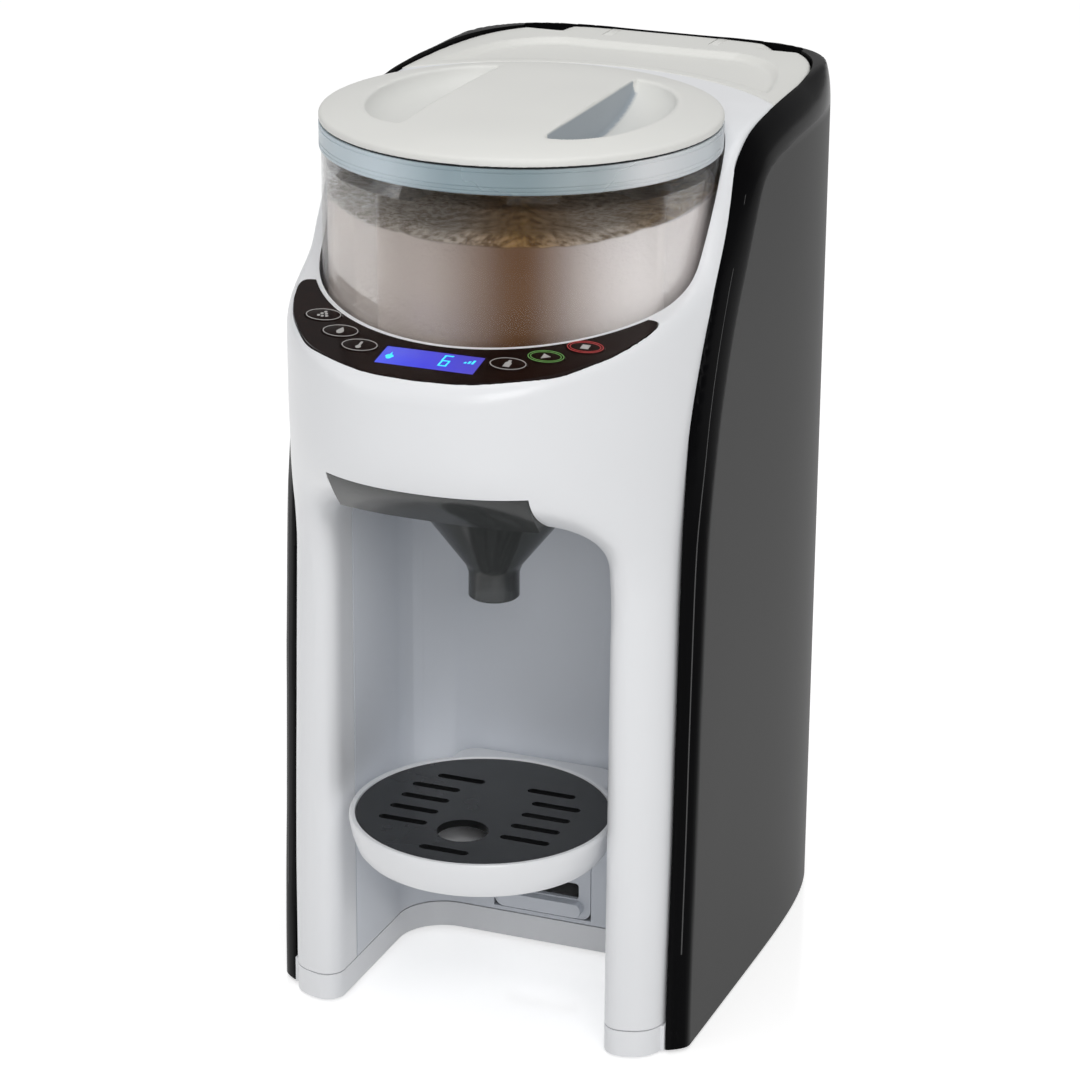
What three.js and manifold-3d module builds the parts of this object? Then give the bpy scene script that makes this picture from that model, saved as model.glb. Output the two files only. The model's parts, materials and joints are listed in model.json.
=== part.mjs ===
// Baby formula maker: a countertop machine that doses milk powder from a round
// container, warms water from a rear tank and mixes both through a funnel into
// a bottle standing on the tray.
// Millimetres, +Z up, front faces -Y, origin under the middle of the machine.
import * as THREE from 'three';
import { mergeVertices } from 'three/addons/utils/BufferGeometryUtils.js';
import Module from 'manifold-3d';

const wasm = await Module();
wasm.setup();

// Overall size of the machine
const machine_height = 379.5;
const machine_width = 180.4;
const machine_depth = 288.8;

// Fits, walls and small fixed sizes
const gap = 0.3;
const run_gap = 0.6;
const wall = 3;
const thin_wall = 2;
const liner_wall = 2.5;
const foot_height = 1.5;
const foot_radius = 7;
const screw_radius = 1.9;
const screw_head_radius = 3.6;
const screw_head_height = 1;
const screw_length = 11;
const margin = 60;

// Levels, as shares of the height
const height_shares = {
  base_top: 0.03426, socket_low: 0.04032, socket_slot_low: 0.0643, socket_slot_high: 0.08327,
  socket_high: 0.11594,
  tray_bottom: 0.20026, tray_tongue_low: 0.2108, tray_tongue_high: 0.22661, tray_arm_high: 0.23294,
  grid_top: 0.24163, tray_top: 0.24348,
  tank_bottom: 0.31621, motor_tail: 0.54018, motor_low: 0.5639, motor_high: 0.6693,
  spout_bottom: 0.47826, spout_top: 0.50856, bay_top: 0.60606, funnel_floor: 0.61397, funnel_top: 0.65876,
  nozzle_low: 0.66403, chute_low: 0.66667, shelf_low: 0.69038, shelf_high: 0.69671,
  gear_low: 0.70092, gear_high: 0.71673, chassis_low: 0.72306, chassis_mid: 0.73175, pocket_floor: 0.74045,
  container_low: 0.74572, wheel_low: 0.75494, wheel_high: 0.7668, stirrer_low: 0.76812,
  stirrer_high: 0.78788,
  powder_low: 0.77049, powder_roof: 0.79157, powder_high: 0.89328, lug_low: 0.90909, liner_head: 0.93808,
  tank_top: 0.93939, container_shoulder: 0.95046, skirt_low: 0.95125, lid_rim_low: 0.9552,
  tank_lid_low: 0.95494, peg: 0.96706, pin: 0.96522, deck: 0.97075, container_top: 0.97497,
  lid_low: 0.97997,
  lid_edge: 0.98788,
};

// Half widths and radii, as shares of the width
const width_shares = {
  shell: 0.5, shell_lip: 0.45676, band_side: 0.04324, column: 0.44346, foot: 0.36585, foot_rear: 0.33259,
  bay: 0.32151, bay_corner: 0.11086, cone_slot: 0.21341, socket: 0.12195, socket_slot: 0.09202,
  tongue: 0.08869,
  pocket: 0.44069, container: 0.43404, neck: 0.41685, lid: 0.43847, lid_rim: 0.39246, skirt_inner: 0.42018,
  seal_inner: 0.39468, seal_outer: 0.41519, scoop_edge: 0.16075, scoop_reach: 0.16907,
  scoop_length: 0.27716,
  scoop_depth: 0.08315, peg_length: 0.03049, wheel: 0.40466, wheel_hub: 0.04989, hub_bore: 0.05266,
  dose_hole: 0.04545,
  outlet: 0.05543, outlet_reach: 0.15078, powder: 0.42073, powder_bay: 0.39357, stirrer: 0.37694,
  stirrer_hub: 0.04435, gear_pitch: 0.06652, gear_root: 0.0582, gear_tip: 0.07206, shaft: 0.02772,
  dog: 0.02217,
  axle: 0.01109, motor: 0.08869, gearbox: 0.10532, funnel: 0.22949, cone: 0.19956, spout: 0.0571,
  tray: 0.30211,
  tray_low: 0.27993, tray_arm: 0.19956, grid: 0.28603, grid_hole: 0.0582, slot_long: 0.11641,
  slot_wide: 0.02217,
  slot_x: 0.1469, slot_x_back: 0.11086, lcd: 0.11086, button_long: 0.04213, button_wide: 0.02661,
  stem: 0.01109,
  cable_window: 0.08869, chassis_disc: 0.42683, leg_out: 0.42129, leg_in: 0.40466, tank_seat: 0.33259,
  tank_hole: 0.04324,
  valve_head: 0.06652, lid_arc: 0.58758, lug_x: 0.13304, lug_half: 0.01109, pin_half: 0.17184,
  pump: 0.08315,
  pump_x: -0.23282, heater_low_x: 0.08869, heater_high_x: 0.34368, nozzle_x: 0.13304, nozzle: 0.01663,
  hose: 0.01996,
  board_low_x: -0.18847, board_high_x: 0.05543, inlet_low_x: -0.25277, inlet_high_x: -0.102,
};

// Places from front to rear, as shares of the depth
const depth_shares = {
  foot_front: -0.23546, foot_rear: 0.38089, head_centre: -0.10492, reveal_end: -0.22853, slot_end: -0.12465,
  bay_back: -0.00693, shell_centre: -0.07098, shell_reach: 0.57133, lip_reach: 0.56302, pan_front: -0.26212,
  tray_centre: -0.23857, grid_hole: -0.31302, front_slot: -0.38054, slot_pitch: 0.03982,
  first_slot: -0.3099,
  funnel_back: -0.0554, tank_front: 0.27355, tank_reach: 0.52978, seat_front: 0.25623, seat_back: 0.43629,
  valve: 0.34626, lid_front: 0.06925, dish_reach: 0.48476, dish_back: 0.41205, lug_front: 0.44668,
  lug_back: 0.47784,
  pin: 0.46814, leg_front: 0.0277, leg_back: 0.22161, shelf_front: 0.02078, shelf_back: 0.1385,
  pump: 0.1385,
  heater_front: 0.09695, heater_back: 0.20083, nozzle: -0.18006, board: 0.24965, inlet_front: 0.42936,
  inlet_back: 0.49931, lcd_front: -0.44529, lcd_back: -0.40097, window_front: -0.43975,
  window_back: -0.40859,
  screw_front: 0.06925, screw_back: 0.20776,
};

// Side view of the edge between white casing and black shell, shares of [depth, height]
const edge_curve_shares = [
  [-0.26316, -0.1581], [-0.26316, 0.05797], [-0.25277, 0.23979], [-0.24584, 0.40053],
  [-0.23892, 0.57181], [-0.23026, 0.68511], [-0.21122, 0.75626],
  [-0.17659, 0.8195], [-0.13504, 0.8722], [-0.10388, 0.90646], [-0.07271, 0.93281], [-0.03809, 0.95125],
  [0.02078, 0.96574], [0.10388, 0.97312],
  [0.20776, 0.97549], [0.38089, 0.97444], [0.47091, 0.97128], [0.49861, 0.96443], [0.51939, 0.95125],
  [0.69252, 0.90909], [0.69252, -0.1581],
];
const band_in_share = 0.04155;
const back_flange_share = 0.0554;

// Height of the white top along the machine, shares of [depth, height]
const top_curve_shares = [
  [-0.65789, 0.75187], [-0.47611, 0.77997], [-0.2545, 0.81423], [-0.20776, 0.82345],
  [-0.17313, 0.83531], [-0.15235, 0.84848],
  [-0.13158, 0.8722], [-0.10042, 0.90646], [-0.06925, 0.93281], [-0.03463, 0.95125], [0.02424, 0.96443],
  [0.10388, 0.9697], [0.20776, 0.97075], [0.69252, 0.97075],
];

// Head and columns: shares [height, half width, forward reach] of each section, then its exponent
const section_shares = [
  [0.03505, 0.44346, 0.19737], [0.49539, 0.44512, 0.19737], [0.53755, 0.449, 0.20776],
  [0.57444, 0.45732, 0.24238], [0.61133, 0.46729, 0.29778],
  [0.63768, 0.47395, 0.34107], [0.66403, 0.47783, 0.37396], [0.69302, 0.48004, 0.38954],
  [0.74572, 0.48115, 0.39474], [0.76153, 0.47727, 0.39266],
  [0.77339, 0.46563, 0.38608], [0.77997, 0.44623, 0.37223], [0.86957, 0.44623, 0.37223],
];
const section_exponents = [5, 5, 4.6, 3.8, 3, 2.6, 2.4, 2.3, 2.3, 2.3, 2.3, 2.3, 2.3];
const level_front_share = 0.77997;
const shear_start_share = 0.69038;
const shear_full_share = 0.74572;
const side_station_shares = [0, 0.03463, 0.07618, 0.12465, 0.20776, 0.45014];

// Outlines of the control panel, shares of [width, depth], and its buttons
const panel_shares = [
  [0, -0.47715], [0.09424, -0.4723], [0.1663, -0.45914], [0.23282, -0.43906], [0.28271, -0.41759],
  [0.32151, -0.38989], [0.36308, -0.3518],
  [0.39357, -0.30956], [0.4102, -0.27528], [0.41242, -0.26177], [0.40576, -0.25416], [0.39357, -0.25277],
];
const panel_turn_share = -0.26316;
const button_shares = [[0.16796, -0.41032], [0.23337, -0.38054], [0.29878, -0.34453]];
const panel_depth = 2;
const panel_proud = 0.25;
const button_proud = 0.6;
const button_sink = 1.2;
const stem_end = 8;
const board_level = 9;
const board_thickness = 1.6;
const board_inset = 5;

// Counts and forms
const shell_exponent = 4;
const lip_exponent = 3.6;
const shell_points = 44;
const arc_points = 24;
const round_points = 36;
const gear_teeth = 18;
const tooth_shares = [-0.27, -0.11, 0.11, 0.27];
const dome_shares = [[0.987, 0], [0.88, 0.42], [0.73, 0.74], [0.5, 0.92], [0.25, 0.98], [0, 1]];
const dose_holes = 8;
const peg_angles = [-48, 132];
const slot_turn = 9;
const stirrer_angles = [20, 110];
const slot_rows = 5;
const hinge_clearance = 3.5;

function scaled(shares, size) {
  return Object.fromEntries(Object.entries(shares).map(([key, share]) => [key, share * size]));
}
const high = scaled(height_shares, machine_height);
const wide = scaled(width_shares, machine_width);
const deep = scaled(depth_shares, machine_depth);
const side_view = (pairs) => pairs.map(([y, z]) => [y * machine_depth, z * machine_height]);
const edge_curve = side_view(edge_curve_shares);
const top_curve = side_view(top_curve_shares);
const level_front = level_front_share * machine_height;

// Looks, one for each kind of surface
const look = (color, roughness, metalness = 0) => new THREE.MeshStandardMaterial({ color, roughness,
  metalness });
const looks = {
  white_gloss: look('#e9eaec', 0.25),
  white_satin: look('#e0e0dc', 0.45),
  black_gloss: look('#2c2d2c', 0.3),
  panel_black: look('#17100f', 0.12),
  display_blue: look('#3a3ab8', 0.15),
  clear_plastic: look('#cfd6da', 0.08),
  blue_tint: look('#b0c4d0', 0.2),
  smoke_plastic: look('#464847', 0.15),
  matte_black: look('#1c1e1e', 0.6),
  rubber: look('#26262a', 0.9),
  inner_grey: look('#8d9194', 0.6),
  board_green: look('#1f5a3a', 0.5),
  steel: look('#b4b7ba', 0.35, 0.9),
  nylon: look('#f0eee6', 0.5),
  powder: look('#d8ccc8', 0.95),
  hose: look('#d4dcdc', 0.4),
};

// Solids from geometries
function solid(geometry) {
  const bare = geometry.index ? geometry.toNonIndexed() : geometry.clone();
  bare.deleteAttribute('normal');
  bare.deleteAttribute('uv');
  const merged = mergeVertices(bare, 1e-4);
  const kept = [];
  for (let i = 0; i < merged.index.count; i += 3) {
    const [a, b, c] = [0, 1, 2].map((k) => merged.index.getX(i + k));
    if (a !== b && b !== c && a !== c) kept.push(a, b, c);
  }
  const made = new wasm.Manifold(new wasm.Mesh({
    numProp: 3,
    vertProperties: Float32Array.from(merged.attributes.position.array),
    triVerts: Uint32Array.from(kept),
  }));
  if (made.volume() >= 0) return made;
  for (let i = 0; i < kept.length; i += 3) [kept[i + 1], kept[i + 2]] = [kept[i + 2], kept[i + 1]];
  return new wasm.Manifold(new wasm.Mesh({
    numProp: 3,
    vertProperties: Float32Array.from(merged.attributes.position.array),
    triVerts: Uint32Array.from(kept),
  }));
}

function joinAll(solids) {
  return solids.reduce((sum, next) => sum.add(next));
}

function cutAll(from, solids) {
  return solids.reduce((rest, next) => rest.subtract(next), from);
}

function planShape(points) {
  return new THREE.Shape(points.map(([x, y]) => new THREE.Vector2(x, y)));
}

function prism(points, z_low, z_high) {
  const geometry = new THREE.ExtrudeGeometry(planShape(points), { depth: z_high - z_low,
    bevelEnabled: false });
  geometry.translate(0, 0, z_low);
  return solid(geometry);
}

const side_axes = new THREE.Matrix4().makeBasis(
  new THREE.Vector3(0, 1, 0), new THREE.Vector3(0, 0, 1), new THREE.Vector3(1, 0, 0));
const front_axes = new THREE.Matrix4().makeBasis(
  new THREE.Vector3(1, 0, 0), new THREE.Vector3(0, 0, 1), new THREE.Vector3(0, -1, 0));

// A side view profile [y, z] drawn out along X to both sides
function alongX(profile, half_width) {
  const geometry = new THREE.ExtrudeGeometry(planShape(profile), { depth: half_width * 2,
    bevelEnabled: false });
  geometry.applyMatrix4(side_axes);
  geometry.translate(-half_width, 0, 0);
  return solid(geometry);
}

// A front view profile [x, z] drawn out along Y
function alongY(profile, y_low, y_high) {
  const geometry = new THREE.ExtrudeGeometry(planShape(profile), { depth: y_high - y_low,
    bevelEnabled: false });
  geometry.applyMatrix4(front_axes);
  geometry.translate(0, y_high, 0);
  return solid(geometry);
}

function box([x_low, x_high], [y_low, y_high], [z_low, z_high]) {
  const geometry = new THREE.BoxGeometry(x_high - x_low, y_high - y_low, z_high - z_low);
  geometry.translate((x_low + x_high) / 2, (y_low + y_high) / 2, (z_low + z_high) / 2);
  return solid(geometry);
}

function rod(radius, [z_low, z_high], [x, y] = [0, 0], sides = round_points) {
  const geometry = new THREE.CylinderGeometry(radius, radius, z_high - z_low, sides);
  geometry.rotateX(Math.PI / 2);
  geometry.translate(x, y, (z_low + z_high) / 2);
  return solid(geometry);
}

function rodAlongX(radius, half_length, y, z, sides = 16) {
  const geometry = new THREE.CylinderGeometry(radius, radius, half_length * 2, sides);
  geometry.rotateZ(Math.PI / 2);
  geometry.translate(0, y, z);
  return solid(geometry);
}

// A closed profile [radius, z] turned about the vertical through [x, y]
function turned(profile, [x, y], sides = round_points) {
  const points = profile.map(([r, z]) => new THREE.Vector2(r, z));
  const geometry = new THREE.LatheGeometry([...points, points[0].clone()], sides);
  geometry.rotateX(Math.PI / 2);
  geometry.translate(x, y, 0);
  return solid(geometry);
}

// A round tube through points
function tube(points, radius, bore, steps = 11) {
  const path = new THREE.CatmullRomCurve3(points.map(([x, y, z]) => new THREE.Vector3(x, y, z)), false,
    'centripetal');
  const swept = (r) => {
    const section = new THREE.Shape();
    section.absarc(0, 0, r, 0, Math.PI * 2, false);
    return solid(new THREE.ExtrudeGeometry(section, {
      steps, extrudePath: path, bevelEnabled: false, curveSegments: 4,
    }));
  };
  return swept(radius).subtract(swept(bore));
}

function onCurve(curve, at) {
  const next = curve.findIndex(([y]) => y >= at);
  if (next <= 0) return next === 0 ? curve[0][1] : curve[curve.length - 1][1];
  const [[y_low, z_low], [y_high, z_high]] = [curve[next - 1], curve[next]];
  return THREE.MathUtils.mapLinear(at, y_low, y_high, z_low, z_high);
}

const model = new THREE.Group();
function addPart(name, shape, material) {
  const data = shape.getMesh();
  const count = data.vertProperties.length / data.numProp;
  const positions = new Float32Array(count * 3);
  for (let i = 0; i < count; i += 1) {
    for (let k = 0; k < 3; k += 1) positions[i * 3 + k] = data.vertProperties[i * data.numProp + k];
  }
  const geometry = new THREE.BufferGeometry();
  geometry.setAttribute('position', new THREE.BufferAttribute(positions, 3));
  geometry.setIndex(new THREE.BufferAttribute(Uint32Array.from(data.triVerts), 1));
  geometry.computeVertexNormals();
  const mesh = new THREE.Mesh(geometry, material.clone());
  mesh.name = name;
  model.add(mesh);
}

// Spans that reach past the whole machine
const past_width = [-machine_width, machine_width];
const past_depth = [-machine_depth, machine_depth];
const past_height = [-margin, machine_height + margin];
const spread = (half) => [-half, half];
const head_centre = [0, deep.head_centre];

// Plans of superellipse form
function superPlan(half_width, reach, exponent) {
  const power = 2 / exponent;
  const points = [];
  for (let i = 0; i < shell_points; i += 1) {
    const t = (i / shell_points) * Math.PI * 2;
    const [c, s] = [Math.cos(t), Math.sin(t)];
    points.push([
      half_width * Math.sign(c) * Math.abs(c) ** power,
      deep.shell_centre + reach * Math.sign(s) * Math.abs(s) ** power,
    ]);
  }
  return points;
}

function shellPrism(inset, span) {
  return prism(superPlan(wide.shell - inset, deep.shell_reach - inset, shell_exponent), ...span);
}

// The opening inside the shell's black band: narrow sides, thin rear lip
function lipPrism(inset, span) {
  return prism(superPlan(wide.shell_lip - inset, deep.lip_reach - inset, lip_exponent), ...span);
}

// Two straight sides joined by a rounded end
function rounded(half, corner, start, end) {
  const steps = 5;
  const points = [[-half, start]];
  for (const side of [-1, 1]) {
    for (let i = 0; i <= steps; i += 1) {
      const t = (i / steps) * (Math.PI / 2);
      const [across, along] = side < 0 ? [Math.cos(t), Math.sin(t)] : [Math.sin(t), Math.cos(t)];
      points.push([side * (half - corner + corner * across), end - corner + corner * along]);
    }
  }
  points.push([half, start]);
  return points.reverse();
}

const bayPlan = (grow, y_front) => rounded(wide.bay + grow, wide.bay_corner + grow, y_front,
  deep.bay_back + grow);
const archView = (grow) => rounded(wide.bay + grow, wide.bay_corner + grow, -margin, high.bay_top + grow);

function arch(grow, [y_low, y_high]) {
  return alongY(archView(grow), y_low, y_high);
}

function bay(grow, y_front) {
  return prism(bayPlan(grow, y_front), ...past_height).intersect(arch(grow, [y_front, machine_depth]));
}

// Head and columns as one lofted body: a stepped extrusion whose sections are moved out
function headLoft(inset) {
  const outline = [];
  for (let i = 0; i <= arc_points; i += 1) {
    const t = Math.PI + (i / arc_points) * Math.PI;
    outline.push([Math.cos(t), Math.sin(t)]);
  }
  const stations = side_station_shares.slice(1).map((share) => share * machine_depth);
  for (const y of stations) outline.push([1, y]);
  for (const y of stations.reverse()) outline.push([-1, y]);
  const levels = section_shares.length - 1;
  const geometry = new THREE.ExtrudeGeometry(planShape(outline), { depth: levels, steps: levels,
    bevelEnabled: false });
  const place = geometry.attributes.position;
  for (let i = 0; i < place.count; i += 1) {
    const row = Math.round(place.getZ(i));
    const [level_share, half_share, reach_share] = section_shares[row];
    const power = 2 / section_exponents[row];
    const half = half_share * machine_width - inset;
    const reach = reach_share * machine_depth - inset;
    const [u, v] = [place.getX(i), place.getY(i)];
    const behind = v > 0 && Math.abs(u) > 0.999;
    const x = behind ? half * u : half * Math.sign(u) * Math.abs(u) ** power;
    const y = behind ? deep.head_centre + v : deep.head_centre - reach * Math.abs(Math.min(v, 0)) ** power;
    const ramp = THREE.MathUtils.smoothstep(level_share, shear_start_share, shear_full_share);
    place.setXYZ(i, x, y, level_share * machine_height + ramp * (onCurve(top_curve, y) - level_front));
  }
  return solid(geometry);
}

function underTop(drop) {
  const [first, last] = [top_curve[0], top_curve[top_curve.length - 1]];
  const profile = top_curve.map(([y, z]) => [y, z - drop]);
  return alongX([...profile, [last[0], -margin], [first[0], -margin]], machine_width);
}

// Everything behind the white to black edge, moved rearwards and down by some amount
function behindEdge(shift) {
  return alongX(edge_curve.map(([y, z]) => [y + shift, z > 0 ? z - shift : z]), machine_width);
}

const head_outer = headLoft(0).intersect(underTop(0));
const lip_clear = lipPrism(gap, past_height);
const pocket = (grow, span) => rod(wide.pocket + grow, span, head_centre);
const back_flange = back_flange_share * machine_depth;
const top_wall = wall + thin_wall;

// Slanted frame of the control panel, on the straight front stretch of the top
const [panel_front, panel_back] = [top_curve[1], top_curve[2]];
const panel_tilt = Math.atan2(panel_back[1] - panel_front[1], panel_back[0] - panel_front[0]);
const panel_matrix = new THREE.Matrix4().makeBasis(
  new THREE.Vector3(1, 0, 0),
  new THREE.Vector3(0, Math.cos(panel_tilt), Math.sin(panel_tilt)),
  new THREE.Vector3(0, -Math.sin(panel_tilt), Math.cos(panel_tilt)),
).setPosition(0, ...panel_front);

function onPanel(points, low, rise) {
  const flat = points.map(([x, y]) => [x, (y - panel_front[0]) / Math.cos(panel_tilt)]);
  const geometry = new THREE.ExtrudeGeometry(planShape(flat), { depth: rise - low, bevelEnabled: false });
  geometry.translate(0, 0, low);
  geometry.applyMatrix4(panel_matrix);
  return solid(geometry);
}

function oval([x, y], half_long, half_wide, sides = 16) {
  const points = [];
  for (let i = 0; i < sides; i += 1) {
    const t = (i / sides) * Math.PI * 2;
    points.push([x + half_long * Math.cos(t), y + half_wide * Math.sin(t)]);
  }
  return points;
}

function panelPlan(grow) {
  const turn = panel_turn_share * machine_depth;
  const right = panel_shares.map(([across, along]) => {
    const [x, y] = [across * machine_width, along * machine_depth];
    return [x + grow * Math.sign(x), grow > 0 && y > turn ? y + grow : y - grow];
  });
  const left = right.slice(1).map(([x, y]) => [-x, y]).reverse();
  return [...right, [0, deep.reveal_end + wall], ...left];
}

function rectangle(half, [y_low, y_high], grow = 0) {
  return [
    [-half - grow, y_low - grow], [half + grow, y_low - grow],
    [half + grow, y_high + grow], [-half - grow, y_high + grow],
  ];
}

const button_spots = [];
['inner', 'middle', 'outer'].forEach((place, i) => {
  const [x, y] = [button_shares[i][0] * machine_width, button_shares[i][1] * machine_depth];
  button_spots.push(['button_left_' + place, [-x, y]], ['button_right_' + place, [x, y]]);
});

// Front casing: columns, head and white top in one moulding
const tank_mouth = box(past_width, [0, machine_depth], past_height)
  .subtract(rod(wide.lid_arc - gap, past_height, head_centre, round_points + 4));
function frontCasing() {
  const skin = head_outer.subtract(behindEdge(-gap).subtract(lip_clear));
  const pocket_span = [high.pocket_floor - wall, past_height[1]];
  const room = headLoft(wall).intersect(underTop(top_wall))
    .subtract(arch(wall, [-machine_depth, deep.reveal_end]))
    .subtract(pocket(thin_wall, pocket_span));
  const recess = onPanel(panelPlan(gap), -panel_depth - gap, margin).subtract(pocket(-1, past_height));
  const drawer_slot = box(spread(wide.funnel + gap), [-machine_depth, deep.slot_end],
    [high.bay_top - wall, high.funnel_top + gap]);
  const stem_holes = button_spots.map(([, spot]) => onPanel(oval(spot, wide.stem + run_gap,
    wide.stem + run_gap, 8),
    -stem_end * 2, panel_depth));
  const cable_window = onPanel(rectangle(wide.cable_window, [deep.window_front, deep.window_back]),
    -stem_end * 2, panel_depth);
  const front = cutAll(skin, [
    room, arch(0, [-machine_depth, deep.slot_end]), pocket(0, pocket_span.map((z) => z - 1)),
    behindEdge(back_flange), tank_mouth, recess, drawer_slot, cable_window, ...stem_holes,
  ]);
  const deck = cutAll(head_outer.intersect(lip_clear).intersect(behindEdge(back_flange)),
    [underTop(top_wall), pocket(0, past_height), tank_mouth]);
  const well = pocket(thin_wall, [high.pocket_floor - wall, high.deck])
    .subtract(pocket(0, past_height)).intersect(underTop(panel_depth + run_gap));
  return joinAll([front, deck, well]);
}
addPart('front_casing', frontCasing(), looks.white_gloss);

// Rear shell: the bevelled side view drawn across, rounded in plan
function rearShell() {
  const depth = 2 * (wide.shell - wide.band_side);
  const band_in = band_in_share * machine_depth;
  const geometry = new THREE.ExtrudeGeometry(planShape(edge_curve), {
    depth, bevelEnabled: true, bevelThickness: wide.band_side, bevelSize: band_in, bevelOffset: -band_in,
    bevelSegments: 3,
  });
  geometry.applyMatrix4(side_axes);
  geometry.translate(-depth / 2, 0, 0);
  const inlet_window = box([wide.inlet_low_x - gap, wide.inlet_high_x + gap], [deep.inlet_front,
    machine_depth],
    [high.socket_low + foot_radius, high.socket_high]);
  return cutAll(solid(geometry).intersect(shellPrism(0, [foot_height, past_height[1]])), [
    lipPrism(0, past_height),
    shellPrism(wall, [-margin, high.liner_head]).intersect(behindEdge(back_flange)),
    inlet_window, rodAlongX(hinge_clearance, wide.foot, deep.pin, high.pin, 24),
  ]);
}
addPart('rear_shell', rearShell(), looks.black_gloss);

// Base pan with the floor of the machine
const screw_spots = [
  [-wide.foot_rear, deep.screw_back], [wide.foot_rear, deep.screw_back],
  [-wide.foot_rear, deep.screw_front], [wide.foot_rear, deep.screw_front],
];
const floor_top = foot_height + wall;
function basePan() {
  const columns = (inset, span) => {
    const [, half_share, reach_share] = section_shares[0];
    const power = 2 / section_exponents[0];
    const points = [];
    for (let i = 0; i <= arc_points; i += 1) {
      const t = Math.PI + (i / arc_points) * Math.PI;
      const [c, s] = [Math.cos(t), Math.sin(t)];
      points.push([
        (half_share * machine_width - inset) * Math.sign(c) * Math.abs(c) ** power,
        deep.head_centre - (reach_share * machine_depth - inset) * Math.abs(s) ** power,
      ]);
    }
    return prism(points, ...span);
  };
  const rear = (inset, span) => lipPrism(gap + inset, span)
    .intersect(box(past_width, [deep.pan_front + inset, machine_depth], span));
  const outer_span = [foot_height, high.base_top];
  const inner_span = [floor_top, high.base_top + wall];
  const inner = columns(wall, inner_span).add(rear(wall, inner_span))
    .subtract(prism(bayPlan(wall, -machine_depth), ...past_height));
  const holes = screw_spots.map((spot) => rod(screw_radius + gap, past_height, spot, 8));
  return cutAll(columns(0, outer_span).add(rear(0, outer_span)),
    [inner, prism(bayPlan(0, -machine_depth), ...past_height), ...holes]);
}
addPart('base_pan', basePan(), looks.white_gloss);

const foot_spots = [
  ['foot_front_left', [-wide.foot, deep.foot_front]], ['foot_front_right', [wide.foot, deep.foot_front]],
  ['foot_rear_left', [-wide.foot_rear, deep.foot_rear]], ['foot_rear_right', [wide.foot_rear,
    deep.foot_rear]],
];
for (const [name, spot] of foot_spots) addPart(name, rod(foot_radius, [0, foot_height], spot, 16),
  looks.rubber);

screw_spots.forEach((spot, i) => {
  const shank = rod(screw_radius, [foot_height - gap, foot_height + screw_length], spot, 8);
  const head = rod(screw_head_radius, [foot_height - gap - screw_head_height, foot_height - gap + 0.05],
    spot, 12);
  addPart('base_screw_' + (i + 1), shank.add(head), looks.steel);
});

// Bay lining with a ceiling slot for the cone and openings in its rear wall
function bayLiner() {
  const outer = bay(liner_wall, deep.reveal_end + gap)
    .intersect(box(past_width, past_depth, [high.base_top + gap, machine_height]));
  const ceiling = [high.bay_top - liner_wall, high.bay_top + wall + liner_wall];
  const through_wall = [deep.bay_back - liner_wall, deep.bay_back + 2 * liner_wall];
  return cutAll(outer, [
    bay(0, -machine_depth),
    box(spread(wide.cone_slot), [-machine_depth, deep.head_centre], ceiling),
    rod(wide.cone_slot, ceiling, [0, deep.head_centre - wide.outlet], 28),
    box(spread(wide.socket_slot), through_wall, [high.tray_tongue_low - run_gap,
      high.tray_tongue_high + run_gap]),
    box(spread(wide.socket + gap), through_wall, [high.socket_low - gap, high.socket_high + gap]),
  ]);
}
addPart('bay_liner', bayLiner(), looks.white_satin);
const socket_wall = [deep.bay_back, deep.bay_back + liner_wall];
const lower_socket = box(spread(wide.socket), socket_wall, [high.socket_low, high.socket_high])
  .subtract(box(spread(wide.socket_slot), past_depth, [high.socket_slot_low, high.socket_slot_high]));
addPart('lower_tray_socket', lower_socket, looks.white_satin);

// Tray: a white cup on a rear bracket, and a black slotted disc in it
const tray_centre = [0, deep.tray_centre];
const grid_low = high.grid_top - wall;
function trayBody() {
  const cup = turned([
    [0, high.tray_bottom], [wide.tray_low, high.tray_bottom], [wide.tray - gap, grid_low],
    [wide.tray, high.grid_top],
    [wide.tray - run_gap, high.tray_top], [wide.grid + gap, high.tray_top], [wide.grid + gap,
      grid_low - gap],
    [wide.grid - wall, grid_low - gap], [wide.tray_low - 2 * thin_wall, high.tray_bottom + wall],
    [0, high.tray_bottom + wall],
  ], tray_centre);
  const arm_plan = rounded(wide.tray_arm, wide.outlet, deep.tray_centre + wide.tray_low / 2,
    deep.bay_back - run_gap);
  const arm = prism(arm_plan, high.tray_bottom + 1, high.tray_arm_high)
    .subtract(rod(wide.tray - thin_wall, past_height, tray_centre));
  const tongue = box(spread(wide.tongue), [deep.bay_back - liner_wall,
    deep.bay_back + 2 * liner_wall + thin_wall],
    [high.tray_tongue_low, high.tray_tongue_high]);
  return joinAll([cup, arm, tongue]);
}
addPart('tray_body', trayBody(), looks.white_gloss);

function stadium([x, y]) {
  const half = (wide.slot_long - wide.slot_wide) / 2;
  const corner = wide.slot_wide / 2;
  const steps = 3;
  const points = [];
  for (const side of [1, -1]) {
    for (let i = 0; i <= steps; i += 1) {
      const t = -Math.PI / 2 + (i / steps) * Math.PI;
      points.push([x + side * (half + corner * Math.cos(t)), y + side * corner * Math.sin(t)]);
    }
  }
  return points;
}
const grid_cuts = [rod(wide.grid_hole, past_height, [0, deep.grid_hole], 24),
  prism(stadium([0, deep.front_slot]), ...past_height)];
for (let row = 0; row < slot_rows; row += 1) {
  const x = row === slot_rows - 1 ? wide.slot_x_back : wide.slot_x;
  for (const side of [-1, 1]) {
    grid_cuts.push(prism(stadium([side * x, deep.first_slot + row * deep.slot_pitch]), ...past_height));
  }
}
addPart('tray_grid', cutAll(rod(wide.grid, [grid_low, high.grid_top], tray_centre), grid_cuts),
  looks.matte_black);

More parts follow.
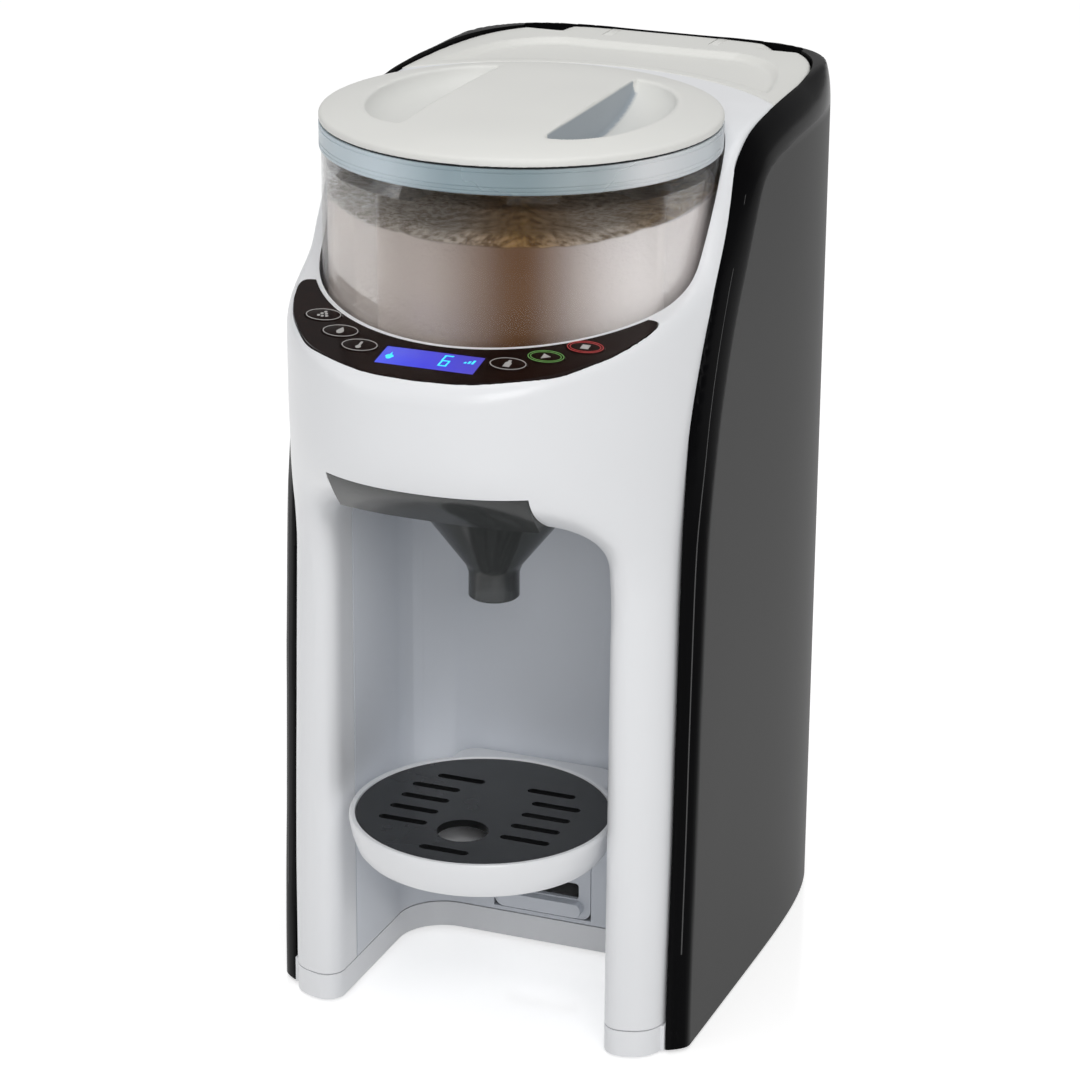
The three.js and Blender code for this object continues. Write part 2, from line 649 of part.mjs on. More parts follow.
// Funnel drawer: shallow open box behind a slanted front plate, cone and spout below
const outlet_spot = [0, deep.head_centre - wide.outlet_reach];
function funnel() {
  const floor_low = high.funnel_floor;
  const tub = box(spread(wide.funnel), [-machine_depth, deep.funnel_back], [floor_low, high.funnel_top])
    .intersect(headLoft(0));
  const room = box(spread(wide.funnel - thin_wall), [-machine_depth, deep.funnel_back - thin_wall],
    [floor_low + thin_wall, machine_height]).intersect(headLoft(liner_wall));
  const mouth = wide.cone - thin_wall;
  const cone = turned([
    [wide.cone, floor_low + 1], [wide.cone, floor_low], [wide.spout, high.spout_top], [wide.spout,
      high.spout_bottom],
    [wide.spout - thin_wall, high.spout_bottom], [wide.spout - thin_wall, high.spout_top + 1], [mouth,
      floor_low + 1],
  ], outlet_spot, 28);
  return tub.subtract(room).subtract(rod(mouth, [floor_low - 1, floor_low + wall], outlet_spot, 28))
    .add(cone);
}
addPart('funnel', funnel(), looks.smoke_plastic);

// Control panel, display and buttons
const lcd_span = [deep.lcd_front, deep.lcd_back];
const button_cuts = button_spots.map(([, spot]) => onPanel(
  oval(spot, wide.button_long + gap, wide.button_wide + gap), -margin, margin));
const panel = cutAll(onPanel(panelPlan(0), -panel_depth, panel_proud), [
  pocket(run_gap, past_height), onPanel(rectangle(wide.lcd, lcd_span, gap), -margin,
    margin), ...button_cuts,
]);
addPart('control_panel', panel, looks.panel_black);
addPart('lcd_display', onPanel(rectangle(wide.lcd, lcd_span), -panel_depth, panel_proud),
  looks.display_blue);
for (const [name, spot] of button_spots) {
  const cap = onPanel(oval(spot, wide.button_long, wide.button_wide), -button_sink, button_proud);
  const stem = onPanel(oval(spot, wide.stem, wide.stem, 8), -stem_end, -button_sink + gap);
  addPart(name, cap.add(stem), looks.panel_black);
}
const control_board = onPanel(panelPlan(-board_inset), -board_level - board_thickness, -board_level)
  .subtract(pocket(wall, past_height));
addPart('control_board', control_board, looks.board_green);

// Chassis: pocket floor, motor shelf, chute and legs
const deck_top = high.pocket_floor - gap;
const idler_spot = [0, deep.head_centre + 2 * wide.gear_pitch];
const motor_spot = [0, deep.head_centre + 4 * wide.gear_pitch];
function chassis() {
  const disc = rod(wide.chassis_disc, [high.chassis_mid - gap, deck_top], head_centre);
  const rear_plate = box(spread(wide.leg_out), [deep.head_centre + wide.outlet, deep.leg_back],
    [high.chassis_low, high.chassis_mid]);
  const legs = [-1, 1].map((side) => box(
    [wide.leg_in, wide.leg_out].map((x) => side * x).sort((a, b) => a - b),
    [deep.leg_front, deep.leg_back], [floor_top + gap, high.chassis_mid]));
  const shelf = box(spread(wide.leg_out - 1), [deep.shelf_front, deep.shelf_back], [high.shelf_low,
    high.shelf_high]);
  const chute = rod(wide.outlet + thin_wall, [high.chute_low, deck_top], outlet_spot, 20);
  const above_gears = [high.gear_high, high.container_low];
  return cutAll(joinAll([disc, rear_plate, ...legs, shelf, chute]), [
    rod(wide.outlet, past_height, outlet_spot, 20),
    rod(wide.shaft + gap, above_gears, head_centre, 16),
    rod(wide.axle + gap, above_gears, idler_spot, 16),
    rod(wide.axle + gap, above_gears, motor_spot, 16),
    rod(wide.shaft + run_gap, [high.motor_high, high.gear_low], motor_spot, 20),
    box([wide.cone_slot / 2, wide.foot_rear], [deep.screw_front, deep.valve / 2], [high.motor_high,
      high.gear_low]),
  ]);
}
addPart('chassis', chassis(), looks.inner_grey);

// Spur gears of equal size in line: drive gear, idler, motor gear
function gearPlan([x, y], phase) {
  const pitch = (Math.PI * 2) / gear_teeth;
  const points = [];
  for (let i = 0; i < gear_teeth; i += 1) {
    tooth_shares.forEach((share, k) => {
      const t = phase + (i + share) * pitch;
      const r = k === 1 || k === 2 ? wide.gear_tip : wide.gear_root;
      points.push([x + r * Math.cos(t), y + r * Math.sin(t)]);
    });
  }
  return points;
}
const gear_span = [high.gear_low, high.gear_high];
const [tooth_back, gap_front] = [Math.PI / 2, -Math.PI / 2 + Math.PI / gear_teeth];
const drive_gear = joinAll([
  prism(gearPlan(head_centre, tooth_back), ...gear_span),
  rod(wide.shaft, [high.gear_high - 1, high.pocket_floor + 1], head_centre, 16),
  rod(wide.stirrer_hub, [high.pocket_floor, high.pocket_floor + 1.4], head_centre, 20),
  box(spread(wide.dog), [deep.head_centre - wide.dog, deep.head_centre + wide.dog],
    [high.pocket_floor + 1, high.wheel_high]),
]);
addPart('drive_gear', drive_gear, looks.nylon);
const idler_gear = prism(gearPlan(idler_spot, gap_front), ...gear_span)
  .subtract(rod(wide.axle + gap, past_height, idler_spot, 16));
addPart('idler_gear', idler_gear, looks.nylon);
const idler_pin = rod(wide.axle, [high.gear_low - thin_wall, deck_top], idler_spot, 16)
  .add(rod(wide.dog, [high.gear_low - thin_wall, high.gear_low - gap], idler_spot, 16));
addPart('idler_pin', idler_pin, looks.steel);
const motor_gear = joinAll([
  prism(gearPlan(motor_spot, -Math.PI / 2), ...gear_span),
  rod(wide.axle, [high.gear_high - 1, deck_top], motor_spot, 16),
  rod(wide.shaft, [high.shelf_low + gap, high.gear_low + 1], motor_spot, 20),
]);
addPart('motor_gear', motor_gear, looks.nylon);
const drive_motor = joinAll([
  rod(wide.motor, [high.motor_low, high.motor_high], motor_spot, 20),
  rod(wide.motor - wall, [high.motor_tail, high.motor_low + 1], motor_spot, 20),
  box(spread(wide.gearbox), [deep.shelf_front, deep.shelf_back - thin_wall], [high.motor_high - 1,
    high.shelf_low - gap]),
]);
addPart('drive_motor', drive_motor, looks.steel);

// Powder container with its two bayonet pegs
const at_angle = (piece, angle) => piece.rotate([0, 0, angle]).translate([0, deep.head_centre, 0]);
function container() {
  const inner = wide.container - thin_wall;
  const floor = high.container_low + wall;
  const body = turned([
    [wide.hub_bore, high.container_low], [wide.container, high.container_low],
    [wide.container, high.container_shoulder], [wide.neck, high.container_shoulder], [wide.neck,
      high.container_top],
    [wide.neck - thin_wall, high.container_top], [wide.neck - thin_wall,
      high.container_shoulder - thin_wall],
    [inner, high.container_shoulder - 2 * wall], [inner, floor], [wide.hub_bore, floor],
  ], head_centre);
  const half_peg = wide.peg_length / 2;
  const pegs = peg_angles.map((angle) => at_angle(box(
    [wide.neck - thin_wall / 2, wide.neck - thin_wall / 2 + wide.peg_length - thin_wall],
    spread(half_peg / 2), [high.peg - 1.2, high.peg + 1.2]), angle));
  return joinAll([body, ...pegs]).subtract(rod(wide.outlet, [high.container_low - wall, floor + wall],
    outlet_spot, 20));
}
addPart('powder_container', container(), looks.clear_plastic);

function dosingWheel() {
  const disc = rod(wide.wheel, [high.wheel_low, high.wheel_high], head_centre)
    .add(rod(wide.wheel_hub, [high.container_low + gap, high.wheel_low + 1], head_centre, 24));
  const holes = [];
  for (let i = 0; i < dose_holes; i += 1) {
    const t = -Math.PI / 2 + ((i + 0.5) / dose_holes) * Math.PI * 2;
    const spot = [wide.outlet_reach * Math.cos(t), deep.head_centre + wide.outlet_reach * Math.sin(t)];
    holes.push(rod(wide.dose_hole, past_height, spot, 10));
  }
  const socket = wide.dog + gap;
  holes.push(box(spread(socket), [deep.head_centre - socket, deep.head_centre + socket], past_height));
  return cutAll(disc, holes);
}
addPart('dosing_wheel', dosingWheel(), looks.nylon);

function stirrer() {
  const half = wide.stirrer_hub / 3;
  const arms = stirrer_angles.map((angle) => at_angle(joinAll([
    box(spread(wide.stirrer), spread(half), [high.stirrer_low + 1, high.stirrer_low + 1 + wall]),
    box([wide.stirrer - 2 * half, wide.stirrer], spread(half), [high.stirrer_low + thin_wall,
      high.stirrer_high]),
    box([-wide.stirrer, -wide.stirrer + 2 * half], spread(half), [high.stirrer_low + thin_wall,
      high.stirrer_high]),
  ]), angle));
  return joinAll([rod(wide.stirrer_hub, [high.stirrer_low, high.stirrer_high], head_centre, 20), ...arms]);
}
addPart('stirrer', stirrer(), looks.nylon);

const powder_heap = [[1, 0], [0.9, 3], [0.69, 1.5], [0.4, 4], [0.16, 1], [0, 2.5]];
const powder_body = turned([
  [0, high.powder_roof], [wide.powder_bay, high.powder_roof], [wide.powder_bay, high.powder_low],
  [wide.powder, high.powder_low],
  ...powder_heap.map(([share, rise]) => [share * wide.powder, high.powder_high + rise]),
], head_centre, 30);
addPart('formula_powder', powder_body, looks.powder);

// Lid: white disc with two grip scoops, inner rim, tinted skirt and soft seal
function scoop(grow, side, ceiling) {
  const ball = new THREE.SphereGeometry(1, 20, 10);
  ball.scale(wide.scoop_reach + grow, wide.scoop_length + grow, wide.scoop_depth + grow);
  ball.translate(0, 0, high.lid_edge + 2 * thin_wall);
  const outward = box([-grow, machine_width], past_depth, past_height);
  return solid(ball).intersect(outward).rotate([0, 0, side > 0 ? 0 : 180])
    .translate([side * wide.scoop_edge, deep.head_centre, 0])
    .intersect(box(past_width, past_depth, [-margin, ceiling]));
}
function lid() {
  const dome = dome_shares.map(([out, up]) => [
    out * wide.lid, THREE.MathUtils.lerp(high.lid_edge, machine_height, up)]);
  const disc = turned([
    [0, high.lid_low], [wide.lid, high.lid_low], [wide.lid, high.lid_edge - 1], ...dome,
  ], head_centre, round_points + 4);
  const rim = rod(wide.lid_rim, [high.lid_rim_low, high.lid_low + 1], head_centre)
    .subtract(rod(wide.lid_rim - thin_wall, past_height, head_centre));
  const bowls = [-1, 1].map((side) => scoop(thin_wall, side, high.lid_edge - gap));
  return cutAll(joinAll([disc, rim, ...bowls]), [-1, 1].map((side) => scoop(0, side,
    machine_height + wall)));
}
addPart('lid', lid(), looks.white_satin);

function lidSkirt() {
  const band = rod(wide.lid, [high.skirt_low, high.lid_low - gap], head_centre, round_points + 4)
    .subtract(rod(wide.skirt_inner, past_height, head_centre, round_points + 4));
  const half_slot = wide.peg_length / 4 + 0.9;
  const out = [wide.neck - thin_wall, machine_width];
  const [run_low, run_high] = [high.peg - 2.1, high.peg + 2.1];
  const cuts = [];
  for (const angle of peg_angles) {
    cuts.push(at_angle(box(out, spread(half_slot), [high.skirt_low - wall, run_high]), angle));
    const steps = 5;
    for (let i = 0; i < steps; i += 1) {
      cuts.push(at_angle(box(out, spread(half_slot), [run_low, run_high]),
        angle + (i / (steps - 1)) * slot_turn));
    }
  }
  return cutAll(band, cuts);
}
addPart('lid_skirt', lidSkirt(), looks.blue_tint);
const seal_span = [high.container_top + gap, high.lid_low - gap];
const lid_seal = rod(wide.seal_outer, seal_span, head_centre, 30)
  .subtract(rod(wide.seal_inner, past_height, head_centre, 30));
addPart('lid_seal', lid_seal, looks.rubber);

// Water tank with its valve, hinged lid and seat
function tankPrism(inset, [z_low, z_high], y_back = machine_depth) {
  const outline = superPlan(wide.column - thin_wall * 2 - inset, deep.tank_reach - inset, shell_exponent);
  return prism(outline, z_low, z_high).intersect(box(past_width, [deep.tank_front + inset, y_back],
    [z_low, z_high]));
}
const valve_spot = [0, deep.valve];
const pin_radius = 1.2;
function waterTank() {
  const floor = high.tank_bottom + liner_wall;
  const body = tankPrism(0, [high.tank_bottom, high.tank_top])
    .subtract(tankPrism(liner_wall, [floor, high.tank_top + 1]))
    .subtract(rod(wide.tank_hole, [high.tank_bottom - 1, floor + 1], valve_spot, 20));
  const lugs = [-1, 1].map((side) => box(
    [side * wide.lug_x - wide.lug_half, side * wide.lug_x + wide.lug_half],
    [deep.lug_front, deep.lug_back], [high.lug_low, high.deck - gap]));
  return joinAll([body, ...lugs]).subtract(rodAlongX(pin_radius + gap, wide.shell, deep.pin, high.pin));
}
addPart('water_tank', waterTank(), looks.clear_plastic);
const valve_top = high.tank_bottom + liner_wall + gap;
const tank_valve = rod(wide.tank_hole - 0.4, [high.tank_bottom - stem_end, valve_top + 1], valve_spot, 20)
  .add(rod(wide.valve_head, [valve_top, valve_top + liner_wall], valve_spot, 24));
addPart('tank_valve', tank_valve, looks.nylon);

function tankLid() {
  const edge_gap = gap + 0.9;
  const plate = lipPrism(edge_gap, [high.tank_lid_low, high.deck])
    .intersect(box(past_width, [deep.lid_front, machine_depth], past_height));
  const plug = tankPrism(5, [high.tank_top + gap, high.deck - thin_wall], deep.seat_back);
  const dish_floor = high.deck - wall;
  const dish = prism(superPlan(wide.wheel, deep.dish_reach, lip_exponent), dish_floor, past_height[1])
    .intersect(box(past_width, [deep.lid_front, deep.dish_back], past_height))
    .subtract(rod(wide.lid_arc + 2 * wall, past_height, head_centre));
  const hollow = tankPrism(5 + wall, [-margin, dish_floor - wall], deep.seat_back - wall);
  const lug_gaps = [-1, 1].map((side) => box(
    [side * wide.lug_x - wide.lug_half - run_gap, side * wide.lug_x + wide.lug_half + run_gap],
    [deep.lug_front - wall, machine_depth], past_height));
  return cutAll(plate.add(plug), [
    rod(wide.lid_arc + gap, past_height, head_centre, round_points + 4), dish, hollow, ...lug_gaps,
    rodAlongX(pin_radius + gap, wide.pin_half + 1, deep.pin, high.pin),
  ]);
}
addPart('tank_lid', tankLid(), looks.white_satin);
addPart('tank_lid_pin', rodAlongX(pin_radius, wide.pin_half, deep.pin, high.pin), looks.steel);

const seat_low = floor_top + gap;
const seat_top = high.tank_bottom - gap;
const seat_span = [deep.seat_front, deep.seat_back];
const tank_seat = cutAll(
  box(spread(wide.tank_seat), seat_span, [seat_low, seat_top]).intersect(lipPrism(2 * wall, past_height)), [
    box(spread(wide.tank_seat - 3 * wall), [seat_span[0] + wall, seat_span[1] - wall],
      [-margin, seat_top - wall]),
    rod(wide.tank_hole + gap, past_height, valve_spot, 20),
    box([2 * wide.inlet_low_x / 1.6, wide.inlet_high_x / 1.6], [seat_span[1] - 4 * wall, machine_depth],
      [high.base_top, high.socket_high + wall]),
  ]);
addPart('tank_seat', tank_seat, looks.inner_grey);

// Water line: pump, heater, hose and nozzle
const pump_spot = [wide.pump_x, deep.pump];
const pump_top = high.socket_high + foot_radius;
const port = wide.nozzle;
const water_pump = rod(wide.pump, [seat_low, pump_top], pump_spot, 24)
  .add(rod(port, [pump_top - 1, pump_top + wide.outlet], pump_spot, 16));
addPart('water_pump', water_pump, looks.matte_black);
const heater_middle = [(wide.heater_low_x + wide.heater_high_x) / 2,
  (deep.heater_front + deep.heater_back) / 2];
const heater_block = box([wide.heater_low_x, wide.heater_high_x], [deep.heater_front, deep.heater_back],
  [seat_low, high.tray_top]).add(rod(port, [high.tray_top - 1, high.tray_top + wide.outlet],
    heater_middle, 16));
addPart('heater_block', heater_block, looks.steel);
const hose_rise = (high.tank_bottom - pump_top) / 2;
const hose_ends = [pump_top + wide.outlet + gap, high.tray_top + wide.outlet + gap];
const hose_top = high.tank_bottom - gap;
const pump_hose = tube([
  [...pump_spot, hose_ends[0]], [...pump_spot, hose_ends[0] + hose_rise],
  [wide.pump_x / 2, deep.pump + wall, hose_top], [0, deep.pump + 2 * wall, hose_top + wall],
  [heater_middle[0] * 0.75, deep.pump + 2 * wall, hose_top], [...heater_middle, hose_ends[1] + wall * 2],
  [...heater_middle, hose_ends[1]],
], wide.hose, wide.hose - 1.4);
addPart('pump_hose', pump_hose, looks.hose);
const nozzle_spot = [wide.nozzle_x, deep.nozzle];
const water_nozzle = rod(port * 1.5, [high.gear_low + 1, high.chassis_mid - run_gap], nozzle_spot, 20)
  .add(rod(port, [high.nozzle_low, high.gear_low + thin_wall], nozzle_spot, 20))
  .subtract(rod(port * 0.6, [high.nozzle_low - 1, high.gear_low], nozzle_spot, 14));
addPart('water_nozzle', water_nozzle, looks.nylon);

// Electrics
const board_x = [wide.board_low_x, wide.board_high_x];
const power_board = joinAll([
  box(board_x, [deep.board, deep.board + board_thickness], [high.base_top, high.tray_top]),
  box([board_x[0] + wall, board_x[0] + wall + foot_radius * 3], [deep.board - wide.hub_bore,
    deep.board + 1],
    [high.socket_low + wall, high.socket_high]),
  box([board_x[1] - foot_radius * 2, board_x[1] - wall], [deep.board - foot_radius, deep.board + 1],
    [high.socket_high + foot_radius, high.tray_bottom]),
]);
addPart('power_board', power_board, looks.board_green);
const inlet_z = [high.socket_low + foot_radius + gap, high.socket_high - gap];
const inlet_x = [wide.inlet_low_x, wide.inlet_high_x];
const power_inlet = box(inlet_x, [deep.inlet_front, deep.inlet_back], inlet_z).subtract(box(
  [inlet_x[0] + wall, inlet_x[1] - wall], [deep.inlet_front + foot_radius, machine_depth],
  [inlet_z[0] + liner_wall, inlet_z[1] - liner_wall]));
addPart('power_inlet', power_inlet, looks.matte_black);

export default model;
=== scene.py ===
"""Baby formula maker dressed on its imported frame. Row frame: metres, +Z up, front faces -Y.
Forms are worked out in millimetres: smooth bodies from fields, crisp edges from booleans."""
import json
import math

import bmesh
import bpy
import numpy as np
import openvdb
from mathutils import Matrix, Vector

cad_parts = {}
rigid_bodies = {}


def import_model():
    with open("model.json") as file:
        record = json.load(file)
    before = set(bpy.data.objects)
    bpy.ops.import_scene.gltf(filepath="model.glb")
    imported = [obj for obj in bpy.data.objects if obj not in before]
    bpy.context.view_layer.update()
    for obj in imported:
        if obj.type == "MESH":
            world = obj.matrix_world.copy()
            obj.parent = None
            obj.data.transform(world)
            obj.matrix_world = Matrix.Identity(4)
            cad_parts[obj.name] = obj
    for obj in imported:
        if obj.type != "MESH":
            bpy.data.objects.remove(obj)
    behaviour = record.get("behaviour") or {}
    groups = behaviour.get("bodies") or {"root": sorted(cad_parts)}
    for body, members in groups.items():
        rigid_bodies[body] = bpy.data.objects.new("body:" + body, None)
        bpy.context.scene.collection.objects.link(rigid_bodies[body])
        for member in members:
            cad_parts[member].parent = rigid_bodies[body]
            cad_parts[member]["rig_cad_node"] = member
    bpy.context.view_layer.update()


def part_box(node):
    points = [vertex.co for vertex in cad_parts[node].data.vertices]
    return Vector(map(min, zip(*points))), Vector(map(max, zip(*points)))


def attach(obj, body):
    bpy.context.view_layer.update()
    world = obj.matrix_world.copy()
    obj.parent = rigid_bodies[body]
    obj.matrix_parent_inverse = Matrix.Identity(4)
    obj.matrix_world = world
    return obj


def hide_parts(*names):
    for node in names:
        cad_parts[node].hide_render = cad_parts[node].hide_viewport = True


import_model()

MM = 0.001
HEAD_Y = -30.3
HEAD = (0.0, HEAD_Y)
WIDE = 140.0
TALL = (-60.0, 430.0)
# Axis of the tank lid's pin, and the outlet of the container above the funnel
HINGE = (135.2, 366.3)
OUTLET = (0.0, HEAD_Y - 27.2)
# Rightwards in the photograph, in the top view
ACROSS = (0.931, 0.365)
LIP_HALF, LIP_REACH, LIP_POWER = 82.6, 162.8, 4.4
SHELL_HALF, SHELL_REACH, SHELL_POWER = 90.2, 165, 4.6
POCKET = 81.5

EDGE = [(-74.5, -60), (-74.5, 22), (-71.5, 91), (-69.5, 152), (-67, 217), (-61.5, 260), (-54, 287),
        (-43.5, 311), (-31.5, 331), (-23.5, 344), (-16, 354), (-8, 361), (6, 366.5), (30, 369.3),
        (60, 370.2),
        (100, 370), (126, 369.3), (140, 369.1), (148, 368.8)]
TOP = [(-190, 285.336), (-137.5, 296), (-105, 302.6), (-73.5, 309), (-60, 312.5), (-50, 317), (-44, 322),
       (-38, 331), (-29, 344), (-20, 354), (-10, 361), (7, 366), (30, 368), (60, 368.4), (200, 368.4)]
ROWS = np.array([[-60, 82, 57.5, 9], [60, 82, 57.5, 8.5], [130, 82, 57.5, 7], [188, 82, 57.5, 6],
                 [204, 82.2, 60.5, 5], [218, 82.7, 70.5, 3.8], [232, 83.6, 86, 2.9], [242, 84.4, 98.5, 2.45],
                 [252, 85, 108, 2.2], [263, 85.3, 112.5, 2.12], [283, 85.5, 114, 2.1],
                 [289, 84.9, 113.4, 2.14],
                 [293.5, 83, 111.5, 2.22], [296, 80.5, 107.5, 2.3], [400, 80.5, 107.5, 2.3]])
# Bevel of the shell by height: where it starts, and how wide it is
BEVEL_START = np.array([[0, 82.9], [200, 82.9], [218, 83.3], [232, 84.1], [242, 84.8], [252, 85.2],
                        [300, 85.5], [322, 85.2], [337, 84.2], [352, 82.6], [400, 82.6]])
BEVEL_WIDTH = np.array([[0, 7.5], [150, 8], [218, 10], [235, 12], [250, 14], [275, 16.5], [312, 18.5],
                        [336, 18.5], [345, 17.5], [354, 16], [360, 13.5], [366, 11], [400, 10]])

BODY = {"lid_skirt": "lid", "formula_powder": "powder_container", "stirrer": "dosing_wheel",
        "tank_valve": "water_tank", "tank_lid_pin": "water_tank"}
MOVING = ["drive_gear", "idler_gear", "motor_gear", "powder_container", "dosing_wheel", "lid_seal", "lid",
          "water_tank", "tank_lid", "funnel", "tray_body", "tray_grid"]


def body_name(node):
    if node in MOVING or node.startswith("button_"):
        return node
    return BODY.get(node, "machine")


# ---- numbers and fields ----
def smoothstep(t, low, high):
    t = np.clip((t - low) / (high - low), 0, 1)
    return t * t * (3 - 2 * t)


def catmull(points, steps=10):
    p = np.array(points, float)
    p = np.vstack([2 * p[0] - p[1], p, 2 * p[-1] - p[-2]])
    out = []
    for a, b, c, d in zip(p, p[1:], p[2:], p[3:]):
        for t in np.arange(steps) / steps:
            out.append(0.5 * (2 * b + (c - a) * t + (2 * a - 5 * b + 4 * c - d) * t**2
                              + (3 * b - a - 3 * c + d) * t**3))
    out.append(p[-2])
    return np.array(out)


EDGE_LINE = catmull(EDGE)
TOP_LINE = catmull(TOP)


def top_at(y):
    return np.interp(y, TOP_LINE[:, 0], TOP_LINE[:, 1])


def round_max(a, b, r):
    return np.minimum(-r, np.maximum(a, b)) + np.hypot(np.maximum(a + r, 0), np.maximum(b + r, 0))


def edge_table():
    ys, zs = np.arange(-95, 165.0), np.arange(-65, 385.0)
    y, z = np.meshgrid(ys, zs, indexing="ij")
    near = np.full(y.shape, 1e9)
    for (ay, az), (by, bz) in zip(EDGE_LINE, EDGE_LINE[1:]):
        dy, dz = by - ay, bz - az
        t = np.clip(((y - ay) * dy + (z - az) * dz) / (dy * dy + dz * dz + 1e-9), 0, 1)
        near = np.minimum(near, np.hypot(y - ay - t * dy, z - az - t * dz))
    split = int(np.argmin(np.abs(EDGE_LINE[:, 0] - 6)))
    front, upper = EDGE_LINE[:split + 1], EDGE_LINE[split:]
    behind = (y > np.interp(z, front[:, 1], front[:, 0])) & (z < 366.5)
    below = z < np.interp(y, upper[:, 0], upper[:, 1])
    return np.where(np.where(y <= 6, behind, below), near, -near)


EDGE_DIST = edge_table()


def behind_edge(y, z):
    """Distance behind the white to black edge in the side view, negative in front of it or above it."""
    u = np.clip(y + 95, 0, EDGE_DIST.shape[0] - 1.001)
    v = np.clip(z + 65, 0, EDGE_DIST.shape[1] - 1.001)
    i, j = u.astype(int), v.astype(int)
    a, b = u - i, v - j
    t = EDGE_DIST
    return ((1 - a) * ((1 - b) * t[i, j] + b * t[i, j + 1])
            + a * ((1 - b) * t[i + 1, j] + b * t[i + 1, j + 1]))


def smooth_rows():
    z = np.arange(-60, 400, 0.5)
    raw = np.array([np.interp(z, ROWS[:, 0], ROWS[:, k]) for k in (1, 2, 3)])

    def blur(sigma):
        t = np.arange(-40, 40.5, 0.5)
        k = np.exp(-0.5 * (t / sigma)**2)
        k /= k.sum()
        return np.array([np.convolve(np.pad(r, 80, "edge"), k, "valid") for r in raw])

    w = smoothstep(z, 274, 286)
    return z, blur(5) * (1 - w) + blur(0.9) * w


ROW_Z, ROW_VALUES = smooth_rows()


def loft(x, y, z, inset=0.0):
    """Head and columns: distance outside the side walls, and above the top."""
    lift = top_at(y) - 296
    low, high = z - 90, z + 15
    for _ in range(15):
        mid = (low + high) / 2
        over = mid + smoothstep(mid, 262, 283) * lift > z
        low, high = np.where(over, low, mid), np.where(over, mid, high)
    row = (low + high) / 2
    half, reach, power = (np.interp(row, ROW_Z, v) for v in ROW_VALUES)
    half, reach = half - inset, reach - inset
    u = np.maximum(np.abs(x) / half, 1e-4)
    v = np.maximum((HEAD_Y - y) / reach, 1e-4)
    g = (u**power + v**power)**(1 / power)
    slope = np.hypot((u / g)**(power - 1) / half, (v / g)**(power - 1) / reach)
    return (g - 1) / slope, z - top_at(y)


def plan(x, y, half, reach, power, centre=-20.5):
    """Distance outside a superellipse in the top view."""
    u = np.maximum(np.abs(x) / half, 1e-4)
    v = np.maximum(np.abs(y - centre) / reach, 1e-4)
    g = (u**power + v**power)**(1 / power)
    return (g - 1) / np.hypot((u / g)**(power - 1) / half, (v / g)**(power - 1) / reach)


def arch(x, z):
    qx, qz = np.abs(x) - 38, z - 210
    return np.minimum(np.maximum(qx, qz), 0) + np.hypot(np.maximum(qx, 0), np.maximum(qz, 0)) - 20


# ---- meshes ----
def make(name, verts, faces):
    mesh = bpy.data.meshes.new(name)
    points = [tuple(MM * c for c in v) for v in verts]
    mesh.from_pydata(points, [], [tuple(int(i) for i in f) for f in faces])
    mesh.update()
    obj = bpy.data.objects.new(name, mesh)
    bpy.context.scene.collection.objects.link(obj)
    bm = bmesh.new()
    bm.from_mesh(mesh)
    bmesh.ops.recalc_face_normals(bm, faces=bm.faces)
    bm.to_mesh(mesh)
    bm.free()
    return obj


def implicit(name, field, low, high, step):
    """Body where field < 0, with its corners pulled onto the surface."""
    low, high = np.array(low, float), np.array(high, float)
    axes = [np.arange(a, b + step, step) for a, b in zip(low, high)]
    values = field(*np.meshgrid(*axes, indexing="ij"))
    values[[0, -1]] = np.maximum(values[[0, -1]], step / 2)
    values[:, [0, -1]] = np.maximum(values[:, [0, -1]], step / 2)
    values[:, :, [0, -1]] = np.maximum(values[:, :, [0, -1]], step / 2)
    grid = openvdb.FloatGrid(step * 4)
    grid.copyFromArray(np.clip(values, -step * 4, step * 4).astype(np.float32))
    points, quads = grid.convertToQuads(isovalue=0.0)
    p = points.astype(float) * step + low
    h = 0.05
    for _ in range(4):
        f = field(p[:, 0], p[:, 1], p[:, 2])
        g = np.stack([(field(*(p + d).T) - field(*(p - d).T)) / (2 * h) for d in np.eye(3) * h], 1)
        move = -(f / np.maximum((g * g).sum(1), 0.05))[:, None] * g
        size = np.linalg.norm(move, axis=1, keepdims=True)
        p += move * np.minimum(1, 0.4 * step / np.maximum(size, 1e-9))
    return make(name, p, quads)


def prism(name, points, low, high, axis="z"):
    """Outline drawn out between two levels. For x the outline is (y, z), for y it is (x, z)."""
    n = len(points)
    order = {"z": lambda a, b, t: (a, b, t), "x": lambda a, b, t: (t, a, b),
             "y": lambda a, b, t: (a, t, b)}[axis]
    verts = [order(a, b, t) for t in (low, high) for a, b in points]
    faces = [tuple(range(n)), tuple(range(2 * n - 1, n - 1, -1))]
    faces += [(i, (i + 1) % n, n + (i + 1) % n, n + i) for i in range(n)]
    return make(name, verts, faces)


def block(name, x, y, z):
    return prism(name, [(x[0], y[0]), (x[1], y[0]), (x[1], y[1]), (x[0], y[1])], *z)


def circle(radius, centre=HEAD, count=128, squeeze=1.0):
    t = np.arange(count) / count * 2 * np.pi
    return [(centre[0] + radius * math.cos(a), centre[1] + radius * squeeze * math.sin(a)) for a in t]


def lathe(name, profile, centre=HEAD, count=128):
    """Closed profile [radius, z] turned about a vertical."""
    verts, index = [], []
    for r, z in profile:
        if r < 1e-6:
            index.append([len(verts)] * count)
            verts.append((centre[0], centre[1], z))
        else:
            index.append(list(range(len(verts), len(verts) + count)))
            verts += [(x, y, z) for x, y in circle(r, centre, count)]
    faces = []
    for a, b in zip(index, index[1:] + index[:1]):
        for i in range(count):
            j = (i + 1) % count
            f = list(dict.fromkeys([a[i], a[j], b[j], b[i]]))
            if len(f) > 2:
                faces.append(f)
    return make(name, verts, faces)


